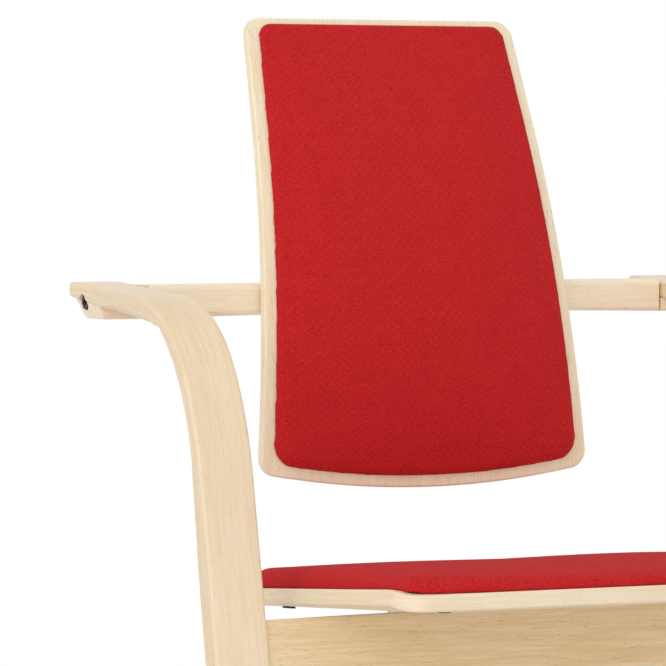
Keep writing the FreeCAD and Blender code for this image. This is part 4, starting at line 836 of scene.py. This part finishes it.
class ARMCHAIR_OT_studio(bpy.types.Operator):
    """A pale floor, soft lamps, an even sky and the camera"""

    bl_idname = "armchair.studio"
    bl_label = "Studio"

    def execute(self, context):
        settings = context.scene.armchair_studio
        self.floor(settings)
        self.lamp("key_lamp", settings.key_place, settings.aim, settings.key_span,
                  settings.key_power, settings.key_tint)
        self.lamp("fill_lamp", settings.fill_place, settings.aim, settings.fill_span,
                  settings.fill_power, settings.fill_tint)
        self.sky(context.scene, settings)
        self.camera(context.scene, settings)
        context.scene.view_settings.view_transform = "Standard"
        return {"FINISHED"}

    def floor(self, settings):
        """A round floor that passes into the white background away from the chair."""
        fade_start, fade_full = 0.22 * settings.floor_reach, 0.75 * settings.floor_reach
        mesh = bpy.data.meshes.new("studio_floor")
        work = bmesh.new()
        bmesh.ops.create_circle(work, cap_ends=True, radius=settings.floor_reach, segments=96)
        work.to_mesh(mesh)
        work.free()
        floor = bpy.data.objects.new("studio_floor", mesh)
        bpy.context.scene.collection.objects.link(floor)
        floor.location.z = -settings.floor_drop
        recipe = Recipe("studio_floor")
        recipe.finish(Base_Color=(*settings.floor, 1.0), Roughness=0.9, Specular_IOR_Level=0.1)
        x, y, _ = recipe.place()
        fade = recipe.ramp(recipe.distance(x, y), fade_start, fade_full)
        glow = recipe.tree.nodes.new("ShaderNodeEmission")
        blend = recipe.tree.nodes.new("ShaderNodeMixShader")
        recipe.feed(blend.inputs[0], recipe.math("MULTIPLY", fade, bright_rays(recipe.tree)))
        recipe.feed(blend.inputs[1], recipe.shader.outputs[0])
        recipe.feed(blend.inputs[2], glow.outputs[0])
        recipe.feed(recipe.tree.nodes["Material Output"].inputs["Surface"], blend.outputs[0])
        floor.data.materials.append(recipe.material)

    def lamp(self, name, place, aim, span, watts, shine):
        lamp = bpy.data.lights.new(name, "AREA")
        lamp.shape = "DISK"
        lamp.size = span
        lamp.energy = watts
        lamp.color = shine
        holder = bpy.data.objects.new(name, lamp)
        holder.location = place
        holder.rotation_euler = (Vector(aim) - Vector(place)).to_track_quat("-Z", "Y").to_euler()
        bpy.context.scene.collection.objects.link(holder)

    def sky(self, scene, settings):
        """Light from all round, stronger from above, in front of a white background."""
        white = (1.0, 1.0, 1.0, 1.0)
        world = bpy.data.worlds.new("studio_sky")
        world.use_nodes = True
        scene.world = world
        tree = world.node_tree
        light = tree.nodes["Background"]
        light.inputs["Color"].default_value = white
        heading = tree.nodes.new("ShaderNodeSeparateXYZ")
        tree.links.new(tree.nodes.new("ShaderNodeTexCoord").outputs["Generated"], heading.inputs[0])
        climb = tree.nodes.new("ShaderNodeMapRange")
        climb.inputs["To Min"].default_value = settings.sky_low
        climb.inputs["To Max"].default_value = settings.sky_high
        tree.links.new(heading.outputs[2], climb.inputs["Value"])
        tree.links.new(climb.outputs["Result"], light.inputs["Strength"])
        backdrop = tree.nodes.new("ShaderNodeBackground")
        backdrop.inputs["Strength"].default_value = 1.0
        backdrop.inputs["Color"].default_value = white
        blend = tree.nodes.new("ShaderNodeMixShader")
        tree.links.new(bright_rays(tree), blend.inputs[0])
        tree.links.new(light.outputs[0], blend.inputs[1])
        tree.links.new(backdrop.outputs[0], blend.inputs[2])
        tree.links.new(blend.outputs[0], tree.nodes["World Output"].inputs["Surface"])

    def camera(self, scene, settings):
        camera = bpy.data.cameras.new("photo_camera")
        camera.lens = settings.lens
        camera.sensor_width = settings.sensor
        camera.clip_end = 100.0
        holder = bpy.data.objects.new("photo_camera", camera)
        holder.location = settings.eye
        holder.rotation_euler = (math.radians(90) - settings.pitch, 0.0, -settings.turn)
        scene.collection.objects.link(holder)
        scene.camera = holder


class ARMCHAIR_PT_finishes(bpy.types.Panel):
    """Finishes of the armchair"""

    bl_idname = "ARMCHAIR_PT_finishes"
    bl_label = "Armchair"
    bl_space_type = "VIEW_3D"
    bl_region_type = "UI"
    bl_category = "Armchair"

    def draw(self, context):
        for operator in OPERATORS:
            self.layout.operator(operator.bl_idname)
        for name, group in GROUPS.items():
            for setting in group.__annotations__:
                self.layout.prop(getattr(context.scene, name), setting)


GROUPS = {
    "armchair_wood": WoodFinish,
    "armchair_fabric": FabricFinish,
    "armchair_fittings": FittingFinish,
    "armchair_studio": StudioSetup,
}
OPERATORS = (ARMCHAIR_OT_side_strips, ARMCHAIR_OT_cross_members, ARMCHAIR_OT_shells, ARMCHAIR_OT_fittings,
             ARMCHAIR_OT_seat_cushion, ARMCHAIR_OT_back_cushion, ARMCHAIR_OT_studio)
CLASSES = (*GROUPS.values(), *OPERATORS, ARMCHAIR_PT_finishes)


def register():
    for item in CLASSES:
        bpy.utils.register_class(item)
    for name, group in GROUPS.items():
        setattr(bpy.types.Scene, name, PointerProperty(type=group))


def unregister():
    for name in GROUPS:
        delattr(bpy.types.Scene, name)
    for item in reversed(CLASSES):
        bpy.utils.unregister_class(item)


def main():
    register()
    bpy.ops.armchair.side_strips()
    bpy.ops.armchair.cross_members()
    bpy.ops.armchair.shells()
    bpy.ops.armchair.fittings()
    bpy.ops.armchair.seat_cushion()
    bpy.ops.armchair.back_cushion()
    bpy.ops.armchair.studio()


if __name__ == "__main__":
    main()
